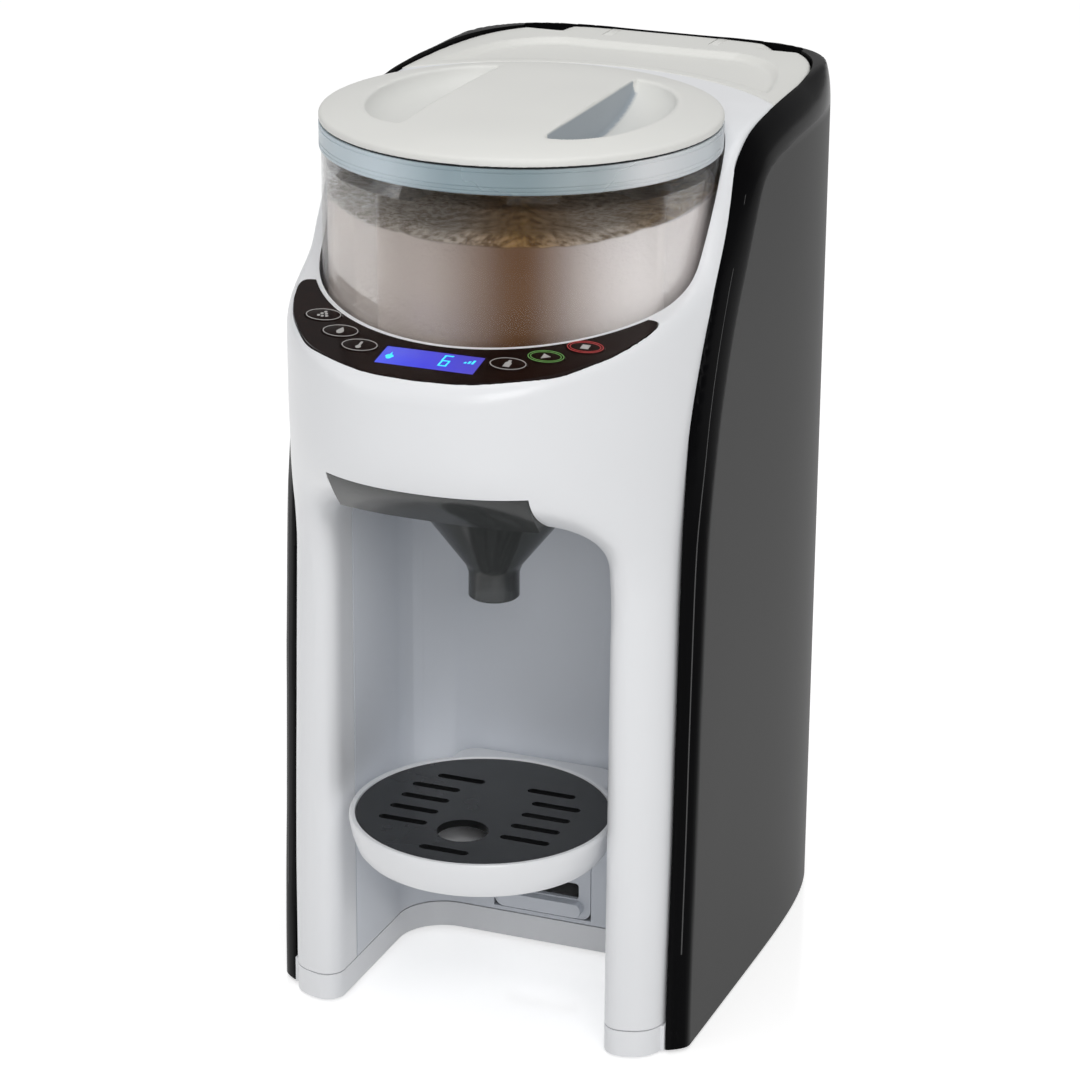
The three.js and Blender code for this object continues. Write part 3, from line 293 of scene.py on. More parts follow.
def super_plan(half, reach, power, count=160, centre=-20.5):
    t = (np.arange(count) + 0.5) / count * 2 * np.pi
    c, s = np.cos(t), np.sin(t)
    along = half * np.sign(c) * np.abs(c)**(2 / power)
    return list(zip(along, centre + reach * np.sign(s) * np.abs(s)**(2 / power)))


def lip(name, inset, low=TALL[0], high=TALL[1]):
    return prism(name, super_plan(LIP_HALF - inset, LIP_REACH - inset, LIP_POWER), low, high)


def rounded_end(half, corner, start, end, count=12):
    """Two straight sides joined by a rounded end, as an outline."""
    t = np.linspace(0, np.pi / 2, count)
    right = [(half - corner + corner * math.cos(a), end - corner + corner * math.sin(a)) for a in t]
    return [(half, start)] + right + [(-x, y) for x, y in right[::-1]] + [(-half, start)]


def edge_prism(name, shift):
    line = [(y + shift, z - shift if z > 0 else z) for y, z in EDGE_LINE]
    return prism(name, line + [(220, 368 - shift), (220, -60)], -WIDE, WIDE, "x")


def bake(obj):
    deps = bpy.context.evaluated_depsgraph_get()
    mesh = bpy.data.meshes.new_from_object(obj.evaluated_get(deps), preserve_all_data_layers=True,
                                           depsgraph=deps)
    obj.modifiers.clear()
    obj.data, old = mesh, obj.data
    bpy.data.meshes.remove(old)
    return obj


def combine(obj, others, operation="DIFFERENCE"):
    for other in others:
        m = obj.modifiers.new("bool", "BOOLEAN")
        m.object, m.operation, m.solver = other, operation, "MANIFOLD"
    bake(obj)
    for other in others:
        bpy.data.objects.remove(other)
    return obj


def cut(obj, *others):
    return combine(obj, others)


def add(obj, *others):
    return combine(obj, others, "UNION")


def keep(obj, *others):
    return combine(obj, others, "INTERSECT")


def bevel(obj, width, segments=2, angle=38):
    m = obj.modifiers.new("bevel", "BEVEL")
    m.width, m.segments, m.limit_method, m.angle_limit = width * MM, segments, "ANGLE", math.radians(angle)
    m.use_clamp_overlap = True
    m.harden_normals = False
    return bake(obj)


def finish(obj, node, material, sharp=35, replace=True, flat=False):
    """Shade, paint, hang on the node's body and put in the node's place."""
    obj.data.materials.clear()
    obj.data.materials.append(material)
    obj.data.shade_smooth()
    obj.data.set_sharp_from_angle(angle=math.radians(sharp))
    if flat:
        m = obj.modifiers.new("normals", "WEIGHTED_NORMAL")
        m.keep_sharp = True
        bake(obj)
    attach(obj, body_name(node))
    if replace:
        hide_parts(node)
    return obj


# ---- materials ----
def link(tree, a, b):
    tree.links.new(a, b)


def base_material(name):
    mat = bpy.data.materials.new(name)
    mat.use_nodes = True
    tree = mat.node_tree
    return mat, tree, tree.nodes["Principled BSDF"]


def noise(tree, scale, detail=4.0, rough=0.5):
    coord = tree.nodes.new("ShaderNodeTexCoord")
    tex = tree.nodes.new("ShaderNodeTexNoise")
    tex.inputs["Scale"].default_value = scale
    tex.inputs["Detail"].default_value = detail
    tex.inputs["Roughness"].default_value = rough
    link(tree, coord.outputs["Object"], tex.inputs["Vector"])
    return tex


def ramp(tree, source, stops):
    node = tree.nodes.new("ShaderNodeValToRGB")
    while len(node.color_ramp.elements) < len(stops):
        node.color_ramp.elements.new(0.5)
    for e, (at, color) in zip(node.color_ramp.elements, stops):
        e.position = at
        e.color = (*color, 1)
    link(tree, source, node.inputs["Fac"])
    return node.outputs["Color"]


def span(tree, source, low, high, from_low=0.3, from_high=0.7):
    node = tree.nodes.new("ShaderNodeMapRange")
    node.inputs["From Min"].default_value = from_low
    node.inputs["From Max"].default_value = from_high
    node.inputs["To Min"].default_value = low
    node.inputs["To Max"].default_value = high
    link(tree, source, node.inputs["Value"])
    return node.outputs["Result"]


def bump(tree, shader, source, strength, distance=0.0002):
    node = tree.nodes.new("ShaderNodeBump")
    node.inputs["Strength"].default_value = strength
    node.inputs["Distance"].default_value = distance
    link(tree, source, node.inputs["Height"])
    link(tree, node.outputs["Normal"], shader.inputs["Normal"])


def moulded(name, color, rough, vary=0.02, rough_vary=0.03, scale=18, grain=900, grain_strength=0.05,
            **sockets):
    """Moulded plastic or metal: broad drifts of tone and gloss, fine grain in the surface."""
    mat, tree, shader = base_material(name)
    broad = noise(tree, scale, 3)
    dark = [max(c * (1 - vary), 0) for c in color]
    light = [min(c * (1 + vary), 1) for c in color]
    link(tree, ramp(tree, broad.outputs["Fac"], [(0.3, dark), (0.7, light)]), shader.inputs["Base Color"])
    link(tree, span(tree, broad.outputs["Fac"], max(rough - rough_vary, 0.02), rough + rough_vary),
         shader.inputs["Roughness"])
    fine = noise(tree, grain, 2)
    bump(tree, shader, fine.outputs["Fac"], grain_strength)
    for key, value in sockets.items():
        shader.inputs[key.replace("_", " ")].default_value = value
    return mat


def across_view(tree):
    """0 to 1 from the left to the right edge of the powder, as the photograph sees it."""
    coord = tree.nodes.new("ShaderNodeTexCoord")
    across = tree.nodes.new("ShaderNodeVectorMath")
    across.operation = "DOT_PRODUCT"
    across.inputs[1].default_value = (*ACROSS, 0)
    link(tree, coord.outputs["Object"], across.inputs[0])
    return span(tree, across.outputs["Value"], 0.0, 1.0, -0.08936, 0.06724)


def painted_reflection_bands(mat, stops):
    """Broad bands of painted reflection and painted shade across the view in place of an even base colour."""
    tree = mat.node_tree
    tone = ramp(tree, across_view(tree), stops)
    tone.node.color_ramp.interpolation = "EASE"
    link(tree, tone, tree.nodes["Principled BSDF"].inputs["Base Color"])
    return mat


def painted_scoop_wall_shade(mat):
    """Painted bluish shade on the vertices marked as the straight wall of a scoop."""
    tree = mat.node_tree
    shader = tree.nodes["Principled BSDF"]
    plain = shader.inputs["Base Color"].links[0].from_socket
    wall_shade_mask = tree.nodes.new("ShaderNodeAttribute")
    wall_shade_mask.attribute_name = "wall"
    shade = ramp(tree, noise(tree, 25, 3).outputs["Fac"],
                 [(0.3, (0.30, 0.34, 0.38)), (0.7, (0.33, 0.37, 0.41))])
    mix = tree.nodes.new("ShaderNodeMix")
    mix.data_type = "RGBA"
    link(tree, wall_shade_mask.outputs["Fac"], mix.inputs["Factor"])
    link(tree, plain, mix.inputs["A"])
    link(tree, shade, mix.inputs["B"])
    link(tree, mix.outputs["Result"], shader.inputs["Base Color"])
    return mat


def shell_material():
    mat, tree, shader = base_material("shell_black_and_grey")
    band = tree.nodes.new("ShaderNodeAttribute")
    band.attribute_name = "band"
    broad = noise(tree, 9, 3)
    grey = ramp(tree, broad.outputs["Fac"], [(0.3, (0.012, 0.012, 0.012)), (0.7, (0.015, 0.015, 0.0147))])
    black = ramp(tree, broad.outputs["Fac"], [(0.3, (0.0017, 0.0017, 0.002)), (0.7, (0.0025, 0.0025, 0.003))])
    mix = tree.nodes.new("ShaderNodeMix")
    mix.data_type = "RGBA"
    link(tree, band.outputs["Fac"], mix.inputs["Factor"])
    link(tree, grey, mix.inputs["A"])
    link(tree, black, mix.inputs["B"])
    link(tree, mix.outputs["Result"], shader.inputs["Base Color"])
    link(tree, span(tree, band.outputs["Fac"], 0.46, 0.22, 0, 1), shader.inputs["Roughness"])
    link(tree, span(tree, band.outputs["Fac"], 0.13, 0.03, 0, 1), shader.inputs["Specular IOR Level"])
    fine = noise(tree, 1200, 2)
    bump(tree, shader, fine.outputs["Fac"], 0.04)
    return mat


def powder_material_with_painted_bands():
    """The powder's own beige tone and fine grains over the heap, with painted shade and a painted reflection
    in bands across the view.
    """
    mat, tree, shader = base_material("formula_powder_grains_and_painted_bands")
    top = tree.nodes.new("ShaderNodeAttribute")
    top.attribute_name = "heap"
    side = across_view(tree)
    # Face: the darker edges and brown middle are painted shade, the pale band on the right is a painted
    # reflection.
    face_tone_and_painted_bands = ramp(tree, side, [(0.0, (0.30, 0.25, 0.23)), (0.035, (0.68, 0.60, 0.55)),
                             (0.095, (0.68, 0.60, 0.55)),
                             (0.245, (0.50, 0.43, 0.39)), (0.5, (0.15, 0.075, 0.037)),
                             (0.795, (0.88, 0.82, 0.79)),
                             (0.92, (0.80, 0.73, 0.70)), (1.0, (0.35, 0.30, 0.28))])
    # Heap grains carry the same bands of painted shade, browner in the middle and darker on the right.
    dark = ramp(tree, side, [(0.0, (0.20, 0.16, 0.13)), (0.3, (0.19, 0.145, 0.11)),
                             (0.5, (0.13, 0.06, 0.016)),
                             (0.72, (0.24, 0.18, 0.13)), (0.84, (0.11, 0.06, 0.025)),
                             (1.0, (0.10, 0.06, 0.03))])
    light = ramp(tree, side, [(0.0, (0.62, 0.56, 0.50)), (0.3, (0.60, 0.53, 0.46)), (0.5, (0.44, 0.25, 0.09)),
                              (0.72, (0.66, 0.58, 0.50)), (0.84, (0.36, 0.24, 0.13)),
                              (1.0, (0.30, 0.20, 0.12))])
    for item in (face_tone_and_painted_bands, dark, light):
        item.node.color_ramp.interpolation = "EASE"
    grains = noise(tree, 330, 5, 0.65)

    def blend(a, b, factor):
        mix = tree.nodes.new("ShaderNodeMix")
        mix.data_type = "RGBA"
        link(tree, factor, mix.inputs["Factor"])
        link(tree, a, mix.inputs["A"])
        link(tree, b, mix.inputs["B"])
        return mix.outputs["Result"]
    heap = blend(dark, light, span(tree, grains.outputs["Fac"], 0, 1, 0.42, 0.6))
    tone = blend(face_tone_and_painted_bands, heap, top.outputs["Fac"])
    link(tree, tone, shader.inputs["Base Color"])
    shader.inputs["Roughness"].default_value = 0.95
    shader.inputs["Specular IOR Level"].default_value = 0.1
    bump(tree, shader, grains.outputs["Fac"], 0.5, 0.0012)
    return mat


def display_material():
    mat, tree, shader = base_material("display_glow")
    coord = tree.nodes.new("ShaderNodeTexCoord")
    split = tree.nodes.new("ShaderNodeSeparateXYZ")
    link(tree, coord.outputs["Object"], split.inputs["Vector"])
    glow = ramp(tree, span(tree, split.outputs["X"], 0, 1, -0.02, 0.02),
                [(0, (0.055, 0.075, 0.62)), (0.5, (0.04, 0.04, 0.52)), (1, (0.06, 0.05, 0.42))])
    link(tree, glow, shader.inputs["Base Color"])
    link(tree, glow, shader.inputs["Emission Color"])
    shader.inputs["Emission Strength"].default_value = 0.6
    grid = noise(tree, 2500, 1)
    link(tree, span(tree, grid.outputs["Fac"], 0.12, 0.2), shader.inputs["Roughness"])
    return mat


def glowing(name, color, strength):
    mat, tree, shader = base_material(name)
    fine = noise(tree, 1500, 2)
    dark = [c * 0.85 for c in color]
    shade = ramp(tree, fine.outputs["Fac"], [(0.3, dark), (0.7, color)])
    link(tree, shade, shader.inputs["Base Color"])
    link(tree, shade, shader.inputs["Emission Color"])
    shader.inputs["Emission Strength"].default_value = strength
    return mat


WHITE = moulded("white_gloss", (0.84, 0.85, 0.87), 0.33, 0.008, 0.02, grain_strength=0.02, Coat_Weight=0.15,
                Coat_Roughness=0.12)
SATIN = moulded("white_satin", (0.74, 0.74, 0.71), 0.42, 0.012, 0.04)
# Lid satin, with painted shade on the straight walls of the scoops.
LID = painted_scoop_wall_shade(moulded("lid_satin", (0.76, 0.76, 0.73), 0.4, 0.012, 0.04))
# Same white plastic as the casing, painted darker and bluish as the shade inside the bay.
LINER_PAINTED_SHADE = moulded("bay_white_painted_shade", (0.70, 0.73, 0.78), 0.35, 0.012, 0.04)
SHELL = shell_material()
PANEL = moulded("panel_gloss", (0.010, 0.004, 0.003), 0.1, 0.3, 0.03, 30, 600, 0.01, Specular_IOR_Level=0.09)
CLEAR = moulded("clear_plastic", (0.93, 0.95, 0.97), 0.025, 0.01, 0.01, grain_strength=0.01,
                Transmission_Weight=1.0, IOR=1.3, Alpha=0.4)
# Blue-tinted skirt; its base colour is painted in bands of reflection and shade across the view.
TINT_AND_PAINTED_BANDS = painted_reflection_bands(moulded("blue_tint", (0.84, 0.92, 0.97), 0.25, 0.02, 0.05, Transmission_Weight=0.35, IOR=1.35,
                      Alpha=0.92),
              [(0, (0.70, 0.80, 0.86)), (0.14, (0.80, 0.90, 0.96)), (0.34, (0.42, 0.53, 0.58)),
               (0.5, (0.36, 0.46, 0.50)),
               (0.66, (0.52, 0.60, 0.63)), (0.82, (0.96, 0.98, 1)), (1, (0.80, 0.86, 0.90))])
SMOKE = moulded("smoke_plastic", (0.10, 0.105, 0.105), 0.12, 0.04, 0.03, grain_strength=0.01,
                Transmission_Weight=0.55, IOR=1.3, Alpha=0.93)
GRID = moulded("grid_black", (0.009, 0.0095, 0.010), 0.24, 0.15, 0.05, 40, 1500, 0.03)
# Lighter grey than the black band: painted highlight on the crease bead.
CREASE_HIGHLIGHT = moulded("crease_painted_highlight", (0.035, 0.035, 0.036), 0.3, 0.1, 0.05)
MATTE = moulded("matte_black", (0.013, 0.014, 0.015), 0.5, 0.15, 0.08, 40, 1500, 0.2)
RUBBER = moulded("rubber", (0.02, 0.02, 0.022), 0.85, 0.15, 0.08, 60, 1500, 0.3)
GREY = moulded("inner_grey", (0.26, 0.28, 0.29), 0.55, 0.05, 0.06)
BOARD = moulded("circuit_board", (0.015, 0.10, 0.04), 0.45, 0.25, 0.1, 180, 700, 0.3)
STEEL = moulded("steel", (0.55, 0.56, 0.57), 0.32, 0.06, 0.08, 60, 1800, 0.15, Metallic=1.0)
NYLON = moulded("nylon", (0.80, 0.79, 0.74), 0.45, 0.03, 0.05)
HOSE = moulded("hose_silicone", (0.70, 0.75, 0.76), 0.35, 0.03, 0.05, Transmission_Weight=0.5)
POWDER = powder_material_with_painted_bands()
DISPLAY = display_material()
CYAN = glowing("display_marks", (0.04, 0.62, 0.80), 0.8)
RING_GREY = moulded("print_grey", (0.46, 0.45, 0.44), 0.4, 0.05, 0.05)
RING_GREEN = moulded("print_green", (0.16, 0.42, 0.10), 0.4, 0.05, 0.05)
RING_RED = moulded("print_red", (0.55, 0.05, 0.05), 0.4, 0.05, 0.05)


# ---- casing, pan and shell ----
def casing_field(x, y, z):
    side, top = loft(x, y, z)
    radius = np.interp(z, [0, 180, 205, 222, 235], [9, 9, 11, 16, 18])
    body = round_max(round_max(side, top, 1.0), -arch(x, z), radius)
    well = np.maximum(np.hypot(x, y - HEAD_Y) - POCKET, 278 - z)
    room = np.maximum.reduce([np.where(y < -66, body, side) + 3, top + 5, -well])
    rear = np.maximum.reduce([16 - behind_edge(y, z), top + 5, -well])
    return np.maximum(body, -np.minimum(room, rear))


TILT = math.atan2(13, 64)
PANEL_FRAME = Matrix(((1, 0, 0, 0), (0, math.cos(TILT), -math.sin(TILT), -137.5),
                      (0, math.sin(TILT), math.cos(TILT), 296), (0, 0, 0, 1)))


def on_panel(name, points, low, high):
    """Outline in plan drawn out along the panel's normal."""
    flat = [(x, (y + 137.5) / math.cos(TILT)) for x, y in points]
    n = len(flat)
    verts = [PANEL_FRAME @ Vector((a, b, t)) for t in (low, high) for a, b in flat]
    faces = [tuple(range(n)), tuple(range(2 * n - 1, n - 1, -1))]
    faces += [(i, (i + 1) % n, n + (i + 1) % n, n + i) for i in range(n)]
    return make(name, verts, faces)


def panel_outline(grow):
    right = catmull([(0, -137.8), (17, -136.4), (30, -132.6), (42, -126.8), (51, -120.6), (58, -112.6),
                     (65.5, -101.6), (71, -89.4), (73.6, -81)], 6)
    tip = catmull([(73.6, -81), (74.2, -77.5), (73.6, -74.6), (71.8, -73.4), (70, -73.2)], 4)[1:]
    line = [(x + (grow if x > 1 else 0), y - grow) for x, y in right]
    line += [(x + grow, y + grow * float(smoothstep(y, -79, -75)) * 2 - grow) for x, y in tip]
    return line + [(0, -60)] + [(-x, y) for x, y in line[:0:-1]]


def front_casing():
    obj = implicit("casing", casing_field, (-89, -147, 7), (89, 82, 373), 2.0)
    mouth = cut(block("mouth", (-WIDE, WIDE), (0, 220), TALL),
                prism("round", circle(105.7, count=180), *TALL))
    rear = cut(edge_prism("edge", -0.3), lip("lip", 0.3))
    cut(obj, block("low", (-WIDE, WIDE), (-200, 200), (-20, 13.35)),
        prism("liner", rounded_end(60.8, 22.8, -60, 232.8), -65.9, 20, "y"),
        prism("pocket", circle(79.5, count=180), 277.8, 430), mouth, rear,
        block("drawer", (-41.7, 41.7), (-200, -36), (227, 250.3)))
    ring = prism("keep_rim", circle(81.2, count=180), *TALL)
    cut(obj, cut(on_panel("recess", panel_outline(0.3), -2.3, 20), ring))
    return finish(obj, "front_casing", WHITE, 40)


def base_pan():
    def feet(x, y, z):
        side, _ = loft(x, y, np.full_like(z, 40.0))
        return round_max(side, -arch(x, np.full_like(z, 40.0)), 9)
    obj = implicit("pan_front", feet, (-84, -92, -4), (84, -31, 18), 1.5)
    keep(obj, block("slab", (-WIDE, WIDE), (-200, -34), (1.5, 12.75)))
    rear = keep(lip("pan_rear", 0.3, 1.5, 12.75), block("half", (-WIDE, WIDE), (-75.7, 220), TALL))
    cut(rear, prism("bay", rounded_end(58, 20, -200, -2), *TALL))
    add(obj, rear)
    bevel(obj, 0.35, 1, 50)
    return finish(obj, "base_pan", WHITE, 40)


def rear_shell():
    def field(x, y, z):
        d = behind_edge(y, z)
        start = np.interp(z, BEVEL_START[:, 0], BEVEL_START[:, 1])
        width = np.interp(z, BEVEL_WIDTH[:, 0], BEVEL_WIDTH[:, 1])
        t = np.clip(1 - d / width, 0, 1.3)
        inset = (SHELL_HALF - start) * t**1.7 * (1 - 0.8 * smoothstep(y, 70, 125))
        return round_max(plan(x, y, SHELL_HALF, SHELL_REACH, SHELL_POWER) + inset, -d, 0.8)
    obj = implicit("shell", field, (-93, -80, -3), (93, 148, 374), 2.0)
    inner = keep(prism("inner", super_plan(SHELL_HALF - 3, SHELL_REACH - 3, SHELL_POWER), TALL[0], 325),
                 edge_prism("edge16", 16))
    relief = keep(block("relief", (-63, 63), (126, 138.2), (366, 380)),
                  prism("rim", super_plan(SHELL_HALF - 2.7, SHELL_REACH - 2.7, SHELL_POWER), *TALL))
    cut(obj, block("low", (-WIDE, WIDE), (-200, 220), (-20, 1.5)), lip("lip", 0), inner, relief,
        block("window", (-45.9, -18.1), (124, 180), (22.3, 44)))
    mesh = obj.data
    co = np.zeros(len(mesh.vertices) * 3)
    mesh.vertices.foreach_get("co", co)
    x, y, z = co.reshape(-1, 3).T / MM
    width = np.interp(z, BEVEL_WIDTH[:, 0], BEVEL_WIDTH[:, 1])
    soft = np.interp(z, [0, 150, 260, 300], [2.5, 2.5, 1.6, 0.9])
    d = behind_edge(y, z)
    band = np.clip((width + soft - d) / (2 * soft), 0, 1)
    band = np.maximum(band, (np.abs(x) < 60) & (y < 136) & (z > 340))
    mesh.attributes.new("band", "FLOAT", "POINT").data.foreach_set("value", band.astype(np.float32))
    return finish(obj, "rear_shell", SHELL, 40)


def shell_bead(side):
    """Fine raised line along the crease of the shell's bevel, coloured lighter grey than the black band as a
    painted highlight.
    """
    line = EDGE_LINE[(EDGE_LINE[:, 1] > 40) & (EDGE_LINE[:, 1] < 350)]
    step = np.gradient(line, axis=0)
    step /= np.linalg.norm(step, axis=1, keepdims=True)
    points = []
    for (y, z), (ty, tz) in zip(line, step):
        off = 0.42 * float(np.interp(z, BEVEL_WIDTH[:, 0], BEVEL_WIDTH[:, 1]))
        start = float(np.interp(z, BEVEL_START[:, 0], BEVEL_START[:, 1]))
        y2, z2 = y + tz * off, z - ty * off
        points.append((side * (SHELL_HALF - (SHELL_HALF - start) * 0.58**1.7 - 0.25), y2, z2))
    data = bpy.data.curves.new("bead", "CURVE")
    data.dimensions = "3D"
    data.bevel_depth = 0.32 * MM
    data.bevel_resolution = 2
    spline = data.splines.new("POLY")
    spline.points.add(len(points) - 1)
    for p, c in zip(spline.points, points):
        p.co = (*[MM * v for v in c], 1)
    curve = bpy.data.objects.new("bead_curve", data)
    bpy.context.scene.collection.objects.link(curve)
    deps = bpy.context.evaluated_depsgraph_get()
    mesh = bpy.data.meshes.new_from_object(curve.evaluated_get(deps))
    name = "shell_bead_left" if side < 0 else "shell_bead_right"
    obj = bpy.data.objects.new(name, mesh)
    bpy.context.scene.collection.objects.link(obj)
    bpy.data.objects.remove(curve)
    return finish(obj, "rear_shell", CREASE_HIGHLIGHT, 60, False)


def bay_liner():
    def shape(name, grow, start):
        plan_view = prism(name, rounded_end(58 + grow, 20 + grow, start, -2 + grow, 24), *TALL)
        return keep(plan_view, prism("front", rounded_end(58 + grow, 20 + grow, -60, 230 + grow, 24),
                                     -220, 200, "y"))
    obj = shape("liner", 2.5, -65.7)
    inner = shape("bay", 0, -200)
    cut(obj, inner, block("low", (-WIDE, WIDE), (-200, 200), (-80, 13.3)),
        block("slot", (-41.7, 41.7), (-200, HEAD_Y - 20), (226, 240)),
        prism("slot_end", circle(41.7, (0, HEAD_Y - 20), 96), 226, 240),
        block("tongue", (-16.6, 16.6), (-4.5, 3), (79.4, 86.6)),
        block("socket", (-22.3, 22.3), (-4.5, 3), (15, 44.3)))
    bevel(obj, 0.5, 2, 60)
    return finish(obj, "bay_liner", LINER_PAINTED_SHADE, 40)


def lower_socket():
    obj = prism("socket_plate", rounded_rect(22, 15.3, 44, 4), -2.0, 0.5, "y")
    ledge = prism("ledge", rounded_rect(19, 17.6, 23.9, 3), -6.6, -1, "y")
    add(obj, ledge)
    cut(obj, prism("hole", rounded_rect(16.6, 24.4, 31.6, 1.5), -10, 10, "y"))
    bevel(obj, 0.8, 3, 50)
    return finish(obj, "lower_tray_socket", LINER_PAINTED_SHADE, flat=True)


def rounded_rect(half, low, high, corner, count=6, centre=0.0):
    points = []
    for k, (sx, cz) in enumerate(((1, low + corner), (1, high - corner), (-1, high - corner),
                                  (-1, low + corner))):
        t0 = (-math.pi / 2, 0, math.pi / 2, math.pi)[k]
        for i in range(count + 1):
            a = t0 + i / count * math.pi / 2
            points.append((centre + sx * (half - corner) + corner * math.cos(a), cz + corner * math.sin(a)))
    return points


# ---- tray ----
TRAY = (0.0, -68.9)


def tray():
    wall = [(0, 76), (46, 76), (49.6, 76.6), (51.2, 78.4), (53.2, 84), (54.1, 88.5), (54.5, 90.6),
            (54.4, 91.6),
            (53.9, 92.3), (53.2, 92.4), (52.2, 92.2), (51.95, 91.8), (51.9, 88.4), (48.6, 88.3), (46.8, 80.2),
            (45, 79), (0, 79)]
    cup = lathe("tray_cup", wall, TRAY, 160)
    arm = prism("arm", rounded_end(36, 10, -43, -2.6, 10), 77, 88.4)
    bevel(arm, 1.8, 3, 50)
    cut(arm, prism("disc", circle(52.6, TRAY, 160), *TALL))
    tongue = block("tongue", (-16, 16), (-4.5, 5), (80, 86))
    bevel(tongue, 0.6)
    obj = add(cup, arm, tongue)
    return finish(obj, "tray_body", WHITE, 35)


def slot_shape(name, x, y):
    t = np.linspace(-np.pi / 2, np.pi / 2, 9)
    right = [(x + 8.5 + 2 * math.cos(a), y + 2 * math.sin(a)) for a in t]
    left = [(x - 8.5 - 2 * math.cos(a), y - 2 * math.sin(a)) for a in t]
    return prism(name, right + left, *TALL)


def tray_grid():
    obj = prism("grid", circle(51.6, TRAY, 160), 88.7, 91.7)
    cuts = [prism("hole", circle(10.5, (0, -90.4), 64), *TALL), slot_shape("front", 0, -109.9)]
    for row in range(5):
        x = 20 if row == 4 else 26.5
        cuts += [slot_shape("slot", side * x, -89.5 + row * 11.5) for side in (-1, 1)]
    cut(obj, *cuts)
    bevel(obj, 0.45, 3, 50)
    return finish(obj, "tray_grid", GRID, 25, flat=True)


# ---- funnel ----
def funnel():
    def slab(inset):
        return lambda x, y, z: loft(x, y, z)[0] + inset
    outer = implicit("tub", slab(0.0), (-48, -147, 228), (48, -10, 256), 1.6)
    keep(outer, block("box", (-41.4, 41.4), (-220, -16), (233, 250)))
    inner = implicit("room", slab(2.5), (-48, -147, 230), (48, -10, 262), 1.6)
    keep(inner, block("box", (-39.4, 39.4), (-220, -18), (235, 280)))
    cut(outer, inner, prism("mouth", circle(34, OUTLET, 96), 230, 237))
    cone = lathe("cone", [(36, 234.2), (36, 232.6), (35.2, 231.2), (11.6, 195.5), (10.3, 192), (10.3, 182),
                          (9.8, 181.5), (8.6, 181.5), (8.3, 182), (8.3, 192.4), (9.6, 196.4), (33.2, 232),
                          (34, 234.2)], OUTLET, 96)
    for v in cone.data.vertices:
        v.co.x *= 1 + 0.13 * float(smoothstep(v.co.z / MM, 196, 231))
    obj = add(outer, cone)
    bevel(obj, 0.35, 1, 60)
    return finish(obj, "funnel", SMOKE, 35, flat=True)


# ---- panel ----
BUTTONS = [("inner", 30.3, -118.5), ("middle", 42.1, -109.9), ("outer", 53.9, -99.5)]


def panel():
    obj = on_panel("panel", panel_outline(0), -2, 0.25)
    cuts = [prism("pocket", circle(POCKET, count=180), *TALL),
            on_panel("window", [(-20.3, -128.9), (20.3, -128.9), (20.3, -115.5), (-20.3, -115.5)], -20, 20)]
    for _, x, y in BUTTONS:
        cuts += [on_panel("hole", circle(7.9, (side * x, y), 48, 5.1 / 7.9), -20, 20) for side in (-1, 1)]
    cut(obj, *cuts)
    bevel(obj, 0.2, 1, 50)
    return finish(obj, "control_panel", PANEL, 30)


def display():
    obj = on_panel("display", [(-20, -128.6), (20, -128.6), (20, -115.8), (-20, -115.8)], -2, 0.2)
    bevel(obj, 0.25, 2, 50)
    finish(obj, "lcd_display", DISPLAY)
    marks = []

    def bar(x0, y0, x1, y1):
        marks.append(on_panel("bar", [(x0, y0), (x1, y0), (x1 + 0.25, y1), (x0 + 0.25, y1)], 0.1, 0.26))
    x, y, w, h = 4.4, -125.6, 3.6, 3.7
    bar(x, y, x + w, y + 0.7)
    bar(x, y + h, x + w, y + h + 0.7)
    bar(x, y + 2 * h, x + w, y + 2 * h + 0.7)
    bar(x, y + 0.8, x + 0.7, y + h - 0.1)
    bar(x + w - 0.7, y + 0.8, x + w, y + h - 0.1)
    bar(x, y + h + 0.8, x + 0.7, y + 2 * h - 0.1)
    for k in range(3):
        bar(13.5 + k * 1.5, -121.6, 14.4 + k * 1.5, -120.6 + 0.9 * k)
    drop = [(-16 + 1.7 * math.sin(a) * (1 if math.cos(a) < 0.2 else 0.75), -123.4 - 1.7 * math.cos(a)
             + (1.8 if abs(a - math.pi) < 0.2 else 0)) for a in np.linspace(0, 2 * np.pi, 24, endpoint=False)]
    marks.append(on_panel("drop", drop, 0.1, 0.26))
    obj = join("display_marks", marks)
    finish(obj, "lcd_display", CYAN, replace=False)


def join(name, objs):
    bm = bmesh.new()
    for o in objs:
        bm.from_mesh(o.data)
        bpy.data.objects.remove(o)
    mesh = bpy.data.meshes.new(name)
    bm.to_mesh(mesh)
    bm.free()
    obj = bpy.data.objects.new(name, mesh)
    bpy.context.scene.collection.objects.link(obj)
    return obj


def ring(name, x, y, half_long, half_wide, width, low, high):
    obj = on_panel(name, circle(half_long, (x, y), 48, half_wide / half_long), low, high)
    inner = on_panel("in", circle(half_long - width, (x, y), 48,
                                  (half_wide - width) / (half_long - width)), low - 1,
                     high + 1)
    return cut(obj, inner)


def poly(points, x, y, scale=1.0, low=0.55, high=0.72):
    return on_panel("icon", [(x + a * scale, y + b * scale) for a, b in points], low, high)


